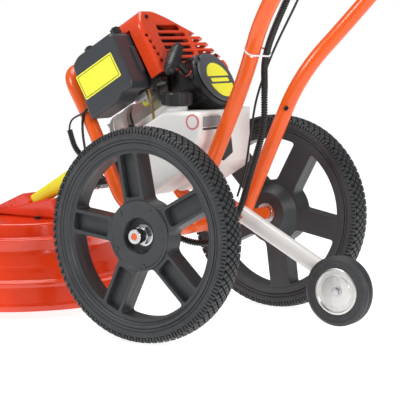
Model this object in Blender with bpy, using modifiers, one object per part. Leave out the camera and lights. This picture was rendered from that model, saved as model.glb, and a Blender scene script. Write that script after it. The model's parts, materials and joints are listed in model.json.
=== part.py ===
"""Wheeled lawn edger: a two-stroke engine drives a line cutting head under a round deck.

Metres, +Z up, front at -Y, the operator's left at +X. The ground is z = 0.
Wheels, cutter, engine and controls are separate solids, named as a mechanic would name them.
"""

import math

import bmesh
import bpy
from mathutils import Matrix, Vector

# ---- driving dimensions ------------------------------------------------------------------
AXLE_Y = 0.046          # the axle sits a little behind the middle of the machine
WHEEL_R = 0.203         # a 16 inch wheel
AXLE_Z = WHEEL_R
WHEEL_X = 0.239         # mid-plane of each wheel
TYRE_W = 0.054
RIM_R = 0.173           # outer edge of the plastic rim
WINDOW_R0, WINDOW_R1 = 0.068, 0.155
SPOKES = 5
SPOKE_W = 0.046
LEFT_TILT = 101.0       # degrees, direction of the first spoke of each wheel
RIGHT_TILT = 118.5
HUB_R = 0.064
AXLE_R = 0.0115
AXLE_TUBE_R = 0.0135
AXLE_END_X = 0.270

TUBE_R = 0.015          # handle and guard tube
FRAME_X = 0.100         # the two handle tubes leave the axle here
HANDLE_BEND_1 = (0.100, 0.133, 0.493)
HANDLE_BEND_2 = (0.173, 0.217, 0.615)
HANDLE_BEND_3 = (0.225, 0.455, 0.895)
HANDLE_END = (0.262, 0.680, 0.945)
GRIP_LEN = 0.125
GRIP_R = 0.0185

STRUT_R = 0.0165
STRUT_BORE = 0.0145
STRUT_FRONT = (0.0, 0.0606, 0.2251)
STRUT_REAR = (0.0, 0.3180, 0.0905)
TAIL_X, TAIL_Y, TAIL_Z = 0.037, 0.3025, 0.098
TAIL_R, TAIL_W = 0.066, 0.030
TAIL_BOLT_R = 0.0050

SHAFT_DEG = 30.5        # the engine and its shaft lean this much
SHAFT_POINT = (0.0, -0.200, 0.3705)
SHAFT_TUBE_R = 0.0150
SHAFT_TUBE_A = (-0.343, -0.036)
CLAMP_A = -0.085        # middle of the clamp that holds the shaft tube
PINION_TEETH, GEAR_TEETH = 9, 14

DECK_Y = -0.520
DECK_R = 0.260
DECK_RIM_Z = 0.0155
DECK_TOP_Z = 0.186
DECK_WALL = 0.003
HEAD_R = 0.056
LINE_R = 0.228          # swept by the cutting line, inside the deck

CASE_A = (0.038, 0.160)     # these run along the shaft: crankcase
FAN_A = (0.166, 0.182)
RECOIL_A = (0.1635, 0.2320)
SHROUD_A = (0.056, 0.186)
CYL_A = 0.100               # cylinder axis
STROKE = 0.032
TANK_Z = (0.250, 0.428)
CAP_X, CAP_Y = 0.0915, -0.0285

GAP = 0.0003            # clearance between neighbouring solids

# ---- colours -----------------------------------------------------------------------------
ORANGE = (0.83, 0.17, 0.03, 1)
RED = (0.80, 0.05, 0.01, 1)
CHARCOAL = (0.045, 0.048, 0.052, 1)
RUBBER = (0.02, 0.02, 0.021, 1)
BLACK = (0.012, 0.012, 0.013, 1)
SLATE = (0.10, 0.11, 0.12, 1)
WHITE = (0.80, 0.79, 0.76, 1)
YELLOW = (0.90, 0.82, 0.05, 1)
ALU = (0.60, 0.59, 0.56, 1)
STEEL = (0.45, 0.45, 0.46, 1)
BRASS = (0.55, 0.42, 0.16, 1)


def fresh_collection(name, hidden=False):
    col = bpy.data.collections.new(name)
    bpy.context.scene.collection.children.link(col)
    col.hide_render = hidden
    return col


for old in list(bpy.data.objects):
    bpy.data.objects.remove(old, do_unlink=True)
PARTS = fresh_collection("lawn_edger")
CUTTERS = fresh_collection("cutters", hidden=True)

# ---- frames ------------------------------------------------------------------------------
SHIFT = Matrix.Translation((0, AXLE_Y, 0))
LEAN = math.radians(SHAFT_DEG)
# engine frame: X to the operator's left, Y up the shaft to the rear, Z across it
ENGINE = Matrix.Translation(SHAFT_POINT) @ Matrix.Rotation(LEAN, 4, "X")
CUTTER = Matrix.Translation((0, DECK_Y, 0))
ALONG_X = Matrix.Rotation(math.pi / 2, 4, "Y")          # local +Z becomes +X
ALONG_MINUS_X = Matrix.Rotation(-math.pi / 2, 4, "Y")
ALONG_Y = Matrix.Rotation(-math.pi / 2, 4, "X")         # local +Z becomes +Y
BACK_ON = Matrix.Rotation(math.pi / 2, 4, "X")          # local +Y becomes +Z, local +Z becomes -Y
# local +X becomes +Y, local +Y becomes +Z
SIDE_ON = Matrix(((0, 0, 1, 0), (1, 0, 0, 0), (0, 1, 0, 0), (0, 0, 0, 1)))
SHAFT = ENGINE @ ALONG_Y                                # local +Z runs up the shaft
# along the shaft, from SHAFT_POINT down to the cutter's axis
GEAR_A = (DECK_Y - SHAFT_POINT[1]) / math.cos(LEAN)
APEX_Z = SHAFT_POINT[2] + GEAR_A * math.sin(LEAN)       # where the two axes meet


def at(x, y, z):
    return Matrix.Translation((x, y, z))


def look_along(point, direction):
    """A frame at the point with local +Z along the direction and local +Y as near up as it can be."""
    z = Vector(direction).normalized()
    x = Vector((0, 0, 1)).cross(z).normalized()
    return Matrix.Translation(point) @ Matrix((x, z.cross(x), z)).transposed().to_4x4()


# ---- shapes: each starts as a hidden tool, and place() makes it a part ---------------------
def shape(mesh, frame):
    bm = bmesh.new()
    bm.from_mesh(mesh)
    bmesh.ops.remove_doubles(bm, verts=bm.verts, dist=1e-6)
    bmesh.ops.recalc_face_normals(bm, faces=bm.faces)
    bm.to_mesh(mesh)
    bm.free()
    obj = bpy.data.objects.new("tool", mesh)
    CUTTERS.objects.link(obj)
    obj.matrix_world = frame
    obj.hide_render = True
    obj.display_type = "WIRE"
    return obj


def evaluated(data, frame, prepare=None):
    """The mesh that a curve, or a profile with its modifier, makes."""
    maker = bpy.data.objects.new("maker", data)
    CUTTERS.objects.link(maker)
    if prepare:
        prepare(maker)
    graph = bpy.context.evaluated_depsgraph_get()
    mesh = bpy.data.meshes.new_from_object(maker.evaluated_get(graph))
    bpy.data.objects.remove(maker)
    return shape(mesh, SHIFT @ frame)


def turned(profile, frame=Matrix(), steps=20):
    """Turn (radius, height) points round local Z. A profile that starts off the axis closes on itself."""
    points = list(profile)
    area = sum(a[0] * b[1] - b[0] * a[1] for a, b in zip(points, points[1:] + points[:1]))
    if area > 0:
        points.reverse()
    edges = [(i, i + 1) for i in range(len(points) - 1)]
    if points[0][0] > 0:
        edges.append((len(points) - 1, 0))
    mesh = bpy.data.meshes.new("profile")
    mesh.from_pydata([(r, 0, h) for r, h in points], edges, [])

    def turn(obj):
        screw = obj.modifiers.new("turn", "SCREW")
        screw.steps = steps
        screw.render_steps = steps
        screw.use_merge_vertices = True
        screw.merge_threshold = 0.00001

    return evaluated(mesh, frame, turn)


def extruded(outlines, low, high, frame=Matrix()):
    """Flat outlines in local X, Y that stand from low to high in Z."""
    curve = bpy.data.curves.new("outline", "CURVE")
    curve.dimensions = "2D"
    curve.fill_mode = "BOTH"
    curve.extrude = (high - low) / 2
    for outline in outlines:
        spline = curve.splines.new("POLY")
        spline.points.add(len(outline) - 1)
        for point, (x, y) in zip(spline.points, outline):
            point.co = (x, y, 0, 1)
        spline.use_cyclic_u = True
    return evaluated(curve, frame @ at(0, 0, (low + high) / 2))


def tube(path, radius, resolution=3, frame=Matrix()):
    """A round bar along a path."""
    curve = bpy.data.curves.new("path", "CURVE")
    curve.dimensions = "3D"
    curve.bevel_depth = radius
    curve.bevel_resolution = resolution
    curve.use_fill_caps = True
    spline = curve.splines.new("POLY")
    spline.points.add(len(path) - 1)
    for point, p in zip(spline.points, path):
        point.co = (*p, 1)
    return evaluated(curve, frame)


def box(x, y, z, frame=Matrix()):
    """A box between two values on each axis."""
    spans = (x, y, z)
    centre = at(*[(low + high) / 2 for low, high in spans])
    size = Matrix.Diagonal([high - low for low, high in spans] + [1])
    bm = bmesh.new()
    bmesh.ops.create_cube(bm, size=1.0, matrix=centre @ size)
    mesh = bpy.data.meshes.new("box")
    bm.to_mesh(mesh)
    bm.free()
    return shape(mesh, SHIFT @ frame)


def rod(r, low, high, frame=Matrix(), steps=20, top_r=None):
    """A cylinder, or a cone that ends in top_r, along local Z."""
    bm = bmesh.new()
    bmesh.ops.create_cone(bm, cap_ends=True, segments=steps, radius1=r,
                          radius2=r if top_r is None else top_r, depth=high - low,
                          matrix=at(0, 0, (low + high) / 2))
    mesh = bpy.data.meshes.new("rod")
    bm.to_mesh(mesh)
    bm.free()
    return shape(mesh, SHIFT @ frame)


def material(name, colour, rough, metal):
    mat = bpy.data.materials.new(name)
    mat.use_nodes = True
    shader = mat.node_tree.nodes["Principled BSDF"]
    shader.inputs["Base Color"].default_value = colour
    shader.inputs["Roughness"].default_value = rough
    shader.inputs["Metallic"].default_value = metal
    return mat


def place(name, obj, colour=STEEL, rough=0.5, metal=0.0, smooth=True):
    """Make a shape a part of the machine. Its origin stays where its frame put it."""
    obj.name = name
    obj.data.name = name
    CUTTERS.objects.unlink(obj)
    PARTS.objects.link(obj)
    obj.hide_render = False
    obj.display_type = "TEXTURED"
    obj.data.materials.append(material(name, colour, rough, metal))
    if smooth:
        obj.data.shade_smooth()
        obj.data.set_sharp_from_angle(angle=math.radians(35))
    return obj


def combine(obj, tool, how="DIFFERENCE"):
    """Cut the tool from the object, or join it on."""
    tool.name = obj.name + "_tool"
    change = obj.modifiers.new(how.lower(), "BOOLEAN")
    change.operation = how
    change.object = tool
    change.solver = "EXACT"
    return obj


def join(obj, tool):
    return combine(obj, tool, "UNION")


# ---- outlines and paths ------------------------------------------------------------------
def polar(r, degrees):
    t = math.radians(degrees)
    return (r * math.cos(t), r * math.sin(t))


def arc(r, start, end, steps):
    return [polar(r, start + (end - start) * i / steps) for i in range(steps + 1)]


def rectangle(x0, x1, y0, y1):
    return [(x0, y0), (x1, y0), (x1, y1), (x0, y1)]


def toothed(r, depth, teeth, first=0.0):
    """A gear outline. The middle of the first tooth lies at the angle given, in degrees."""
    pitch = 360 / teeth
    points = []
    for i in range(teeth):
        middle = first + pitch * i
        points += [polar(r - depth, middle - 0.24 * pitch), polar(r, middle - 0.14 * pitch),
                   polar(r, middle + 0.14 * pitch), polar(r - depth, middle + 0.24 * pitch)]
    return points


def inset(outline, wall):
    """Move each corner of a convex outline inwards by the wall."""
    moved = []
    for i, corner in enumerate(outline):
        a, b, c = Vector(outline[i - 1]), Vector(corner), Vector(outline[(i + 1) % len(outline)])
        u, v = (b - a).normalized(), (c - b).normalized()
        nu, nv = Vector((-u.y, u.x)), Vector((-v.y, v.x))
        moved.append(tuple(b + (nu + nv) * (wall / (1 + nu.dot(nv)))))
    return moved


def rounded(points, radius, steps=3):
    """A polyline with each inner corner rounded."""
    pts = [Vector(p) for p in points]
    path = [pts[0]]
    for before, corner, after in zip(pts, pts[1:], pts[2:]):
        u, v = (before - corner).normalized(), (after - corner).normalized()
        reach = min(radius / math.tan(u.angle(v) / 2), 0.45 * (before - corner).length,
                    0.45 * (after - corner).length)
        for i in range(steps + 1):
            t = i / steps
            path.append((corner + u * reach * (1 - t)) * (1 - t) + (corner + v * reach * t) * t)
    path.append(pts[-1])
    return path


def smooth_path(points, count):
    """Read a Catmull-Rom curve through the points at even steps."""
    pts = [Vector(p) for p in points]
    pts = [2 * pts[0] - pts[1]] + pts + [2 * pts[-1] - pts[-2]]
    spans = len(pts) - 3
    path = []
    for i in range(count + 1):
        s = min(i / count * spans, spans - 1e-9)
        k, t = int(s), s - int(s)
        a, b, c, d = pts[k:k + 4]
        path.append(0.5 * (2 * b + (c - a) * t + (2 * a - 5 * b + 4 * c - d) * t * t
                           + (3 * b - 3 * c + d - a) * t ** 3))
    return path


# ---- running gear ------------------------------------------------------------------------
def window(tilt, k):
    """The opening between spoke k and the next one."""
    pitch = 360 / SPOKES
    mid = tilt + pitch * (k + 0.5)
    outer = pitch / 2 - math.degrees(math.asin(SPOKE_W / 2 / WINDOW_R1))
    inner = pitch / 2 - math.degrees(math.asin(SPOKE_W / 2 / WINDOW_R0))
    return arc(WINDOW_R1, mid - outer, mid + outer, 4) + arc(WINDOW_R0, mid + inner, mid - inner, 1)


def channel(tilt, k):
    """The sunk panel on the face of a spoke, wider near the hub."""
    turn = Matrix.Rotation(math.radians(tilt + 360 / SPOKES * k), 2)
    low, high = WINDOW_R0 + 0.004, WINDOW_R1 - 0.004
    corners = [(low, -0.0128), (low, 0.0128), (high, 0.0105), (high, -0.0105)]
    return [tuple(turn @ Vector(corner)) for corner in corners]


def wheel(side, name, tilt):
    """One big wheel: rim, tyre, hub bearing and the nut that holds it."""
    # local +Z points outwards
    quarter = Matrix.Rotation(side * math.pi / 2, 4, "Z")
    frame = at(side * WHEEL_X, 0, AXLE_Z) @ (ALONG_X if side > 0 else ALONG_MINUS_X) @ quarter
    half = TYRE_W / 2
    rim = [(AXLE_R + 0.0005, -0.040), (0.0215, -0.040), (0.0215, -0.050), (0.044, -0.050),
           (0.062, -0.0245), (RIM_R, -0.0245), (RIM_R, 0.0245), (0.166, 0.0245),
           (0.162, 0.017), (HUB_R + 0.001, 0.017),
           (HUB_R - 0.002, 0.021), (0.034, 0.021), (0.033, 0.000), (AXLE_R + 0.0005, 0.000)]
    body = place(name + "_wheel_rim", turned(rim, frame, 24), CHARCOAL, 0.6)
    combine(body, extruded([window(tilt, k) for k in range(SPOKES)], -0.06, 0.06, frame))
    combine(body, extruded([channel(tilt, k) for k in range(SPOKES)], 0.009, 0.04, frame))
    seat = RIM_R + 0.0004
    tread = half - 0.013
    tyre = [(seat, -half + 0.003), (0.184, -half), (0.1965, -half + 0.002), (WHEEL_R, -tread),
            (WHEEL_R, tread), (0.1965, half - 0.002), (0.184, half), (seat, half - 0.003)]
    place(name + "_tyre", turned(tyre, frame, 24), RUBBER, 0.8)
    bearing = rectangle(AXLE_R + 0.0004, 0.0210, -0.049, -0.0404)
    place(name + "_hub_bearing", turned(bearing, frame, 20), STEEL, 0.3, 1.0)
    nut = [(AXLE_R + 0.0008, 0.0004), (0.0210, 0.0004), (0.0210, 0.0022), (0.0165, 0.0024),
           (0.0165, 0.0105), (0.0142, 0.0120), (0.0142, 0.0290), (AXLE_R + 0.0008, 0.0290)]
    place(name + "_axle_nut", turned(nut, frame, 12), STEEL, 0.25, 1.0)


def running_gear():
    end, step = AXLE_END_X, 0.1875
    axle = [(0, -end), (AXLE_R, -end), (AXLE_R, -step), (AXLE_TUBE_R, -step),
            (AXLE_TUBE_R, step), (AXLE_R, step), (AXLE_R, end), (0, end)]
    place("axle", turned(axle, at(0, 0, AXLE_Z) @ ALONG_X, 20), ORANGE, 0.35)
    wheel(1, "left", LEFT_TILT)
    wheel(-1, "right", RIGHT_TILT)


def tail():
    """The strut behind the axle and the small wheel at its end."""
    front, rear = Vector(STRUT_FRONT), Vector(STRUT_REAR)
    length = (rear - front).length
    line = look_along(front, rear - front)
    strut = place("tail_strut", turned(rectangle(STRUT_BORE, STRUT_R, 0, length), line, 20), WHITE, 0.3)
    hub = at(0, TAIL_Y, TAIL_Z) @ ALONG_X
    combine(strut, rod(TAIL_BOLT_R + GAP, -0.03, 0.03, hub, 12))
    pin_hole = line @ at(0, 0, 0.012) @ ALONG_X
    combine(strut, rod(0.0028, -0.03, 0.03, pin_hole, 8))
    # socket: a collar on the axle, a web, and a spigot that fills the end of the strut
    collar = turned(rectangle(AXLE_TUBE_R + GAP, 0.020, -0.018, 0.018), at(0, 0, AXLE_Z) @ ALONG_X, 20)
    socket = place("tail_socket", collar, ORANGE, 0.4)
    join(socket, rod(STRUT_BORE - GAP, -0.055, 0.040, line, 20))
    web = [(-0.012, AXLE_Z + 0.0165), (0.012, AXLE_Z + 0.0165), (0.022, AXLE_Z + 0.034),
           (0.004, AXLE_Z + 0.046)]
    join(socket, extruded([web], -0.010, 0.010, SIDE_ON))
    frame = at(TAIL_X, TAIL_Y, TAIL_Z) @ ALONG_X
    half = TAIL_W / 2
    bolt = [(0, -0.0640), (0.009, -0.0640), (0.009, -0.0540), (TAIL_BOLT_R, -0.0540),
            (TAIL_BOLT_R, 0.0136), (0.0085, 0.0136), (0.0085, 0.0185), (0.0060, 0.0200), (0, 0.0200)]
    place("tail_wheel_bolt", turned(bolt, frame, 12), STEEL, 0.3, 1.0)
    bore, rim = TAIL_BOLT_R + GAP, 0.0440
    disc = [(bore, -0.0202), (0.0120, -0.0202), (0.0120, -half), (rim, -half + 0.001),
            (rim, half - 0.001), (0.0415, half), (0.0390, half - 0.003), (0.0120, half - 0.002),
            (bore, half - 0.002)]
    place("tail_wheel_hub", turned(disc, frame, 20), ALU, 0.35, 0.8)
    seat = rim + GAP
    tyre = [(seat, -half), (0.060, -half), (TAIL_R, -half + 0.005), (TAIL_R, -0.0022),
            (TAIL_R - 0.003, 0.0), (TAIL_R, 0.0022), (TAIL_R, half - 0.005), (0.060, half),
            (seat, half)]
    place("tail_wheel_tyre", turned(tyre, frame, 20), RUBBER, 0.6)


# ---- frame and handles -------------------------------------------------------------------
def handle_path(side):
    foot = Vector((FRAME_X, 0, AXLE_Z))
    foot += (Vector(HANDLE_BEND_1) - foot).normalized() * (AXLE_TUBE_R + 0.0008)
    points = [foot, HANDLE_BEND_1, HANDLE_BEND_2, HANDLE_BEND_3, HANDLE_END]
    return [(side * p[0], p[1], p[2]) for p in points]


def grip_frame(side):
    """At the end of a handle tube, with local +Z back along the tube."""
    end, before = (Vector(p) for p in (handle_path(side)[-1], handle_path(side)[-2]))
    return look_along(end, before - end)


def handles():
    for side, name in ((1, "left"), (-1, "right")):
        place(name + "_handle_tube", tube(rounded(handle_path(side), 0.09), TUBE_R), ORANGE, 0.3)
        bore = TUBE_R + GAP
        grip = [(0, -0.004), (GRIP_R - 0.003, -0.004), (GRIP_R, 0.0), (GRIP_R, GRIP_LEN - 0.003),
                (GRIP_R + 0.002, GRIP_LEN), (bore, GRIP_LEN), (bore, -GAP), (0, -GAP)]
        place(name + "_grip", turned(grip, grip_frame(side), 16), BLACK, 0.8)
    leg = [(FRAME_X, -0.0145, 0.206), (FRAME_X, -0.150, 0.232), (FRAME_X, -0.232, 0.400),
           (FRAME_X, -0.293, 0.500)]
    far = [(-x, y, z) for x, y, z in reversed(leg)]
    place("guard_hoop", tube(rounded(leg + far, 0.045), TUBE_R - 0.001, 2), ORANGE, 0.3)


def shaft_clamp():
    """A ring round the shaft tube on a bar that lies between the legs of the guard hoop."""
    half = 0.016
    ring = turned(rectangle(SHAFT_TUBE_R + GAP, 0.0220, CLAMP_A - half, CLAMP_A + half), SHAFT)
    clamp = place("shaft_clamp", ring, BLACK, 0.5)
    x = FRAME_X - TUBE_R - 0.0005
    join(clamp, box((-0.011, 0.011), (CLAMP_A - 0.014, CLAMP_A + 0.014), (-0.062, -0.0185), ENGINE))
    join(clamp, box((-x, x), (CLAMP_A - 0.012, CLAMP_A + 0.012), (-0.072, -0.056), ENGINE))


def controls():
    """Throttle housing on the left tube, with its trigger, lock-out and the stop switch."""
    frame = grip_frame(1)
    low, high = GRIP_LEN + 0.0035, GRIP_LEN + 0.070
    body = place("throttle_housing", box((-0.022, 0.022), (-0.026, 0.026), (low, high), frame),
                 BLACK, 0.55, smooth=False)
    combine(body, rod(TUBE_R + 0.0010, low - 0.01, high + 0.01, frame, 20))
    slot = (-0.0055, 0.0055)
    combine(body, box(slot, (-0.030, -0.0175), (low - 0.010, high - 0.012), frame))
    combine(body, box(slot, (0.0175, 0.030), (low - 0.010, high - 0.012), frame))
    # both levers hang on a pin at the front of their slot and run back along the grip
    pin_z = low + 0.042
    trigger = [(-0.004, 0.0013), (0.006, 0.0013), (0.032, -0.0063), (0.087, -0.0115),
               (0.087, -0.0167), (0.030, -0.0155), (0.002, -0.0063), (-0.004, -0.0020)]
    lock = [(-0.004, -0.0020), (-0.004, 0.0020), (0.012, 0.0115), (0.067, 0.0135),
            (0.067, 0.0090), (0.034, 0.0075), (0.020, -0.0008), (0.012, -0.0012)]
    quarter = Matrix.Rotation(math.pi / 2, 4, "Y")
    for name, outline, y, colour in (("throttle_trigger", trigger, -0.0205, RED),
                                     ("throttle_lockout", lock, 0.0205, BLACK)):
        lever = extruded([outline], -0.0045, 0.0045, frame @ at(0, y, pin_z) @ quarter)
        place(name, lever, colour, 0.4, smooth=False)
    switch = box((-0.0325, -0.0223), (-0.008, 0.002), (low + 0.030, low + 0.046), frame)
    place("stop_switch", switch, RED, 0.4, smooth=False)


def cables():
    """Corrugated throttle conduit and the thin stop wire, whole from the lever to the engine."""
    frame = grip_frame(1)
    leave = GRIP_LEN + 0.0750
    route = [frame @ Vector((0.012, -0.0235, leave)), (0.200, 0.428, 0.837), (0.169, 0.316, 0.724),
             (0.146, 0.239, 0.615), (0.116, 0.188, 0.535), (0.088, 0.168, 0.470),
             (0.074, 0.156, 0.396), (0.058, 0.118, 0.308), (0.046, 0.084, 0.233),
             (0.050, 0.040, 0.178), (0.062, -0.020, 0.170), (0.075, -0.090, 0.205),
             (0.078, -0.150, 0.275), (0.080, -0.165, 0.340), (0.074, -0.150, 0.395)]
    place("throttle_conduit", tube(smooth_path(route, 34), 0.0062, 2), BLACK, 0.5)
    wire = [frame @ Vector((-0.004, -0.0240, leave)), (0.196, 0.455, 0.838), (0.150, 0.322, 0.715),
            (0.118, 0.246, 0.618), (0.100, 0.190, 0.535), (0.084, 0.150, 0.460),
            (0.070, 0.128, 0.396), (0.046, 0.100, 0.320), (0.034, 0.074, 0.262)]
    place("stop_wire", tube(smooth_path(wire, 18), 0.0022, 2), BLACK, 0.5)


# ---- cutter ------------------------------------------------------------------------------
def shaft_line():
    """Shaft tube, the drive shaft inside it with its bevel pinion, and the angle gear case."""
    low, high = SHAFT_TUBE_A
    place("shaft_tube", turned(rectangle(0.0125, SHAFT_TUBE_R, low, high), SHAFT), ALU, 0.3, 0.3)
    # the pinion's pitch cone touches the gear's nearly flat one
    ratio = GEAR_TEETH / PINION_TEETH
    cone = math.atan(math.cos(LEAN) / (ratio - math.sin(LEAN)))
    near, far, tip = 0.0090, 0.0129, 0.0006
    drive = place("drive_shaft", rod(0.0042, GEAR_A + near, -0.016, SHAFT, 12), STEEL, 0.3, 1.0)
    outer = far * math.tan(cone) + tip
    pinion = extruded([toothed(outer, 0.0042, PINION_TEETH, 90)], GEAR_A + near, GEAR_A + far, SHAFT)
    blank = rod(near * math.tan(cone) + tip, GEAR_A + near, GEAR_A + far, SHAFT, 36, outer)
    join(drive, combine(pinion, blank, "INTERSECT"))
    # gear case: a vertical barrel and a neck up the shaft, hollow, open below and at the neck
    barrel = turned([(0, 0.150), (0.0210, 0.150), (0.0210, 0.193), (0.0150, 0.199), (0, 0.199)], CUTTER)
    case = place("gear_case", barrel, ALU, 0.4, 0.5)
    join(case, rod(0.0175, GEAR_A + 0.001, low + 0.016, SHAFT))
    combine(case, rod(0.0188, 0.140, 0.1910, CUTTER, 24))
    combine(case, rod(0.0125, GEAR_A + 0.002, low + 0.002, SHAFT))
    combine(case, rod(SHAFT_TUBE_R + GAP, low - GAP, low + 0.03, SHAFT, 24))
    # output shaft with its lower bearing, crown gear and the adapter for the line head
    output = place("output_shaft", rod(0.0060, 0.0860, 0.1760, CUTTER, 16), STEEL, 0.3, 1.0)
    join(output, rod(0.0190, 0.0842, 0.0980, CUTTER))
    join(output, rod(0.0185, 0.1500, 0.1560, CUTTER, 24))
    crown = APEX_Z - 0.0050
    join(output, rod(0.0170, crown - 0.0060, crown, CUTTER, 28))
    half_pitch = 180 / GEAR_TEETH
    teeth = []
    for k in range(GEAR_TEETH):
        turn = Matrix.Rotation(math.radians(90 + half_pitch + 2 * half_pitch * k), 2)
        teeth.append([tuple(turn @ Vector(p)) for p in rectangle(0.0110, 0.0165, -0.0009, 0.0009)])
    join(output, extruded(teeth, crown - 0.001, APEX_Z - 0.0024, CUTTER))


def deck():
    """Stepped round deck, open below, and the red cover that bolts the gear case to it."""
    r, rim, top, wall = DECK_R, DECK_RIM_Z, DECK_TOP_Z, DECK_WALL
    hole = 0.0235
    outer = [(hole, top), (r - 0.072, top), (r - 0.067, top - 0.014), (r - 0.064, top - 0.028),
             (r - 0.048, top - 0.030), (r - 0.048, top - 0.034), (r - 0.051, top - 0.054),
             (r - 0.030, top - 0.084), (r - 0.014, top - 0.110), (r - 0.005, top - 0.113),
             (r - 0.005, top - 0.119), (r - 0.003, rim + 0.014), (r, rim + 0.012), (r, rim)]
    inner = [(r - wall, rim), (r - 0.010, top - 0.122), (r - 0.034, top - 0.086),
             (r - 0.055, top - 0.054), (r - 0.070, top - 0.032), (r - 0.074, top - wall),
             (hole, top - wall)]
    shell = place("deck", turned(outer + inner, CUTTER, 28), RED, 0.2)
    combine(shell, rod(0.0195, GEAR_A - 0.005, GEAR_A + 0.062, SHAFT))
    floor = top + GAP
    lower = [(-0.549, floor), (-0.552, 0.190), (-0.424, 0.2235), (-0.386, 0.2310), (-0.374, 0.200),
             (-0.372, floor)]
    cover = place("gear_cover", extruded([lower], -0.034, 0.034, SIDE_ON), RED, 0.25, smooth=False)
    upper = [(-0.5515, 0.1885), (-0.549, 0.200), (-0.541, 0.2065), (-0.474, 0.2355), (-0.456, 0.2200),
             (-0.460, 0.195)]
    join(cover, extruded([upper], -0.027, 0.027, SIDE_ON))
    ribs = [rectangle(-0.0275, 0.0275, a, a + 0.006) for a in (-0.378, -0.364, -0.350, -0.336)]
    join(cover, extruded(ribs, 0.0120, 0.0245, ENGINE))
    combine(cover, rod(0.0222, floor - 0.02, 0.2005, CUTTER, 24))
    combine(cover, rod(0.0185, GEAR_A, SHAFT_TUBE_A[0] + 0.0175, SHAFT, 24))
    combine(cover, rod(0.0165, GEAR_A, 0.0, SHAFT, 24))
    blade = rectangle(-0.018, 0.018, -0.2490, -0.2455)
    place("line_cutter", extruded([blade], 0.030, 0.052, CUTTER), STEEL, 0.3, 1.0, smooth=False)


def coil(r, low, high, turns, steps):
    """Points of a helix."""
    total = turns * steps
    return [(*polar(r, 360 * i / steps), low + (high - low) * i / total) for i in range(total + 1)]


def cutting_head():
    """Line head on the output shaft: housing, spool, spring, bump knob and two lengths of line."""
    housing = [(0.0090, 0.0835), (0.0400, 0.0835), (0.0520, 0.0770), (HEAD_R, 0.0600), (HEAD_R, 0.0300),
               (0.0530, 0.0260), (0.0290, 0.0260), (0.0290, 0.0290), (0.0510, 0.0290), (0.0530, 0.0320),
               (0.0530, 0.0590), (0.0500, 0.0740), (0.0390, 0.0805), (0.0090, 0.0805)]
    place("head_housing", turned(housing, CUTTER, 16), BLACK, 0.5)
    spool = [(0.0130, 0.0330), (0.0490, 0.0330), (0.0490, 0.0360), (0.0240, 0.0365), (0.0240, 0.0605),
             (0.0490, 0.0610), (0.0490, 0.0640), (0.0130, 0.0640)]
    place("line_spool", turned(spool, CUTTER, 16), SLATE, 0.5)
    knob = [(0, 0), (0.0120, 0.0), (0.0230, 0.0045), (0.0280, 0.0120), (0.0280, 0.0230),
            (0.0220, 0.0270), (0.0125, 0.0270), (0.0125, 0.0420), (0.0040, 0.0425), (0.0040, 0.0620),
            (0, 0.0620)]
    place("bump_knob", turned(knob, CUTTER, 20), BLACK, 0.45)
    spring = coil(0.0085, 0.0445, 0.0785, 3, 8)
    place("knob_spring", tube(spring, 0.0011, 2, CUTTER), STEEL, 0.3, 1.0)
    # radius, degrees it trails and height of each point of a line
    trail = ((HEAD_R + 0.0008, 0, 0.0480), (0.110, 3, 0.0465), (0.170, 8, 0.0420), (LINE_R, 15, 0.0360))
    for name, start in (("cutting_line_a", 25), ("cutting_line_b", 205)):
        route = [(*polar(r, start + bend), z) for r, bend, z in trail]
        place(name, tube(smooth_path(route, 6), 0.0013, 2, CUTTER), YELLOW, 0.4)


# ---- engine ------------------------------------------------------------------------------
def clutch():
    neck = SHAFT_TUBE_R + GAP
    housing = [(neck, -0.060), (0.0220, -0.060), (0.0240, -0.030), (0.0470, -0.022),
               (0.0520, -0.016), (0.0520, 0.0340), (0.0480, 0.0372), (0.0440, 0.0372),
               (0.0440, -0.0140), (0.0400, -0.0180), (neck, -0.0200)]
    place("clutch_housing", turned(housing, SHAFT), ALU, 0.4, 0.6)
    drum = [(0, -0.0155), (0.0380, -0.0155), (0.0400, -0.0130), (0.0400, 0.0150), (0.0375, 0.0150),
            (0.0375, -0.0125), (0, -0.0125)]
    place("clutch_drum", turned(drum, SHAFT, 20), STEEL, 0.4, 0.9)


def crank():
    """Crankcase, the crankshaft with the clutch rotor on its nose, and the flywheel fan."""
    low, high = CASE_A
    wall, bore = 0.012, 0.0086
    case = [(bore, low), (0.0440, low), (0.0480, low + 0.006), (0.0480, high - 0.006), (0.0440, high),
            (bore, high), (bore, high - wall), (0.0400, high - wall), (0.0400, low + wall),
            (bore, low + wall)]
    body = place("crankcase", turned(case, SHAFT, 16), ALU, 0.45, 0.6)
    combine(body, rod(0.0212, 0.030, 0.060, ENGINE @ at(0, CYL_A, 0)))
    web_in, web_out = 0.008, 0.016      # from the cylinder's axis to the faces of each web
    journal, web = 0.0080, 0.0300
    front = [(0, -0.0060), (0.0270, -0.0060), (0.0270, 0.0100), (journal, 0.0100),
             (journal, CYL_A - web_out), (web, CYL_A - web_out), (web, CYL_A - web_in),
             (0, CYL_A - web_in)]
    shaft = place("crankshaft", turned(front, SHAFT, 20), STEEL, 0.3, 1.0)
    back = [(0, CYL_A + web_in), (web, CYL_A + web_in), (web, CYL_A + web_out),
            (journal, CYL_A + web_out), (journal, 0.1960), (0, 0.1960)]
    join(shaft, turned(back, SHAFT, 20))
    pin = ENGINE @ at(0, 0, -STROKE / 2) @ ALONG_Y
    join(shaft, rod(0.0060, CYL_A - web_out + 0.004, CYL_A + web_out - 0.004, pin, 12))
    fan = place("flywheel", extruded([toothed(0.0480, 0.009, 14)], *FAN_A, SHAFT), ALU, 0.4, 0.7,
                smooth=False)
    combine(fan, rod(journal + GAP, 0.1, 0.25, SHAFT))


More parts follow.
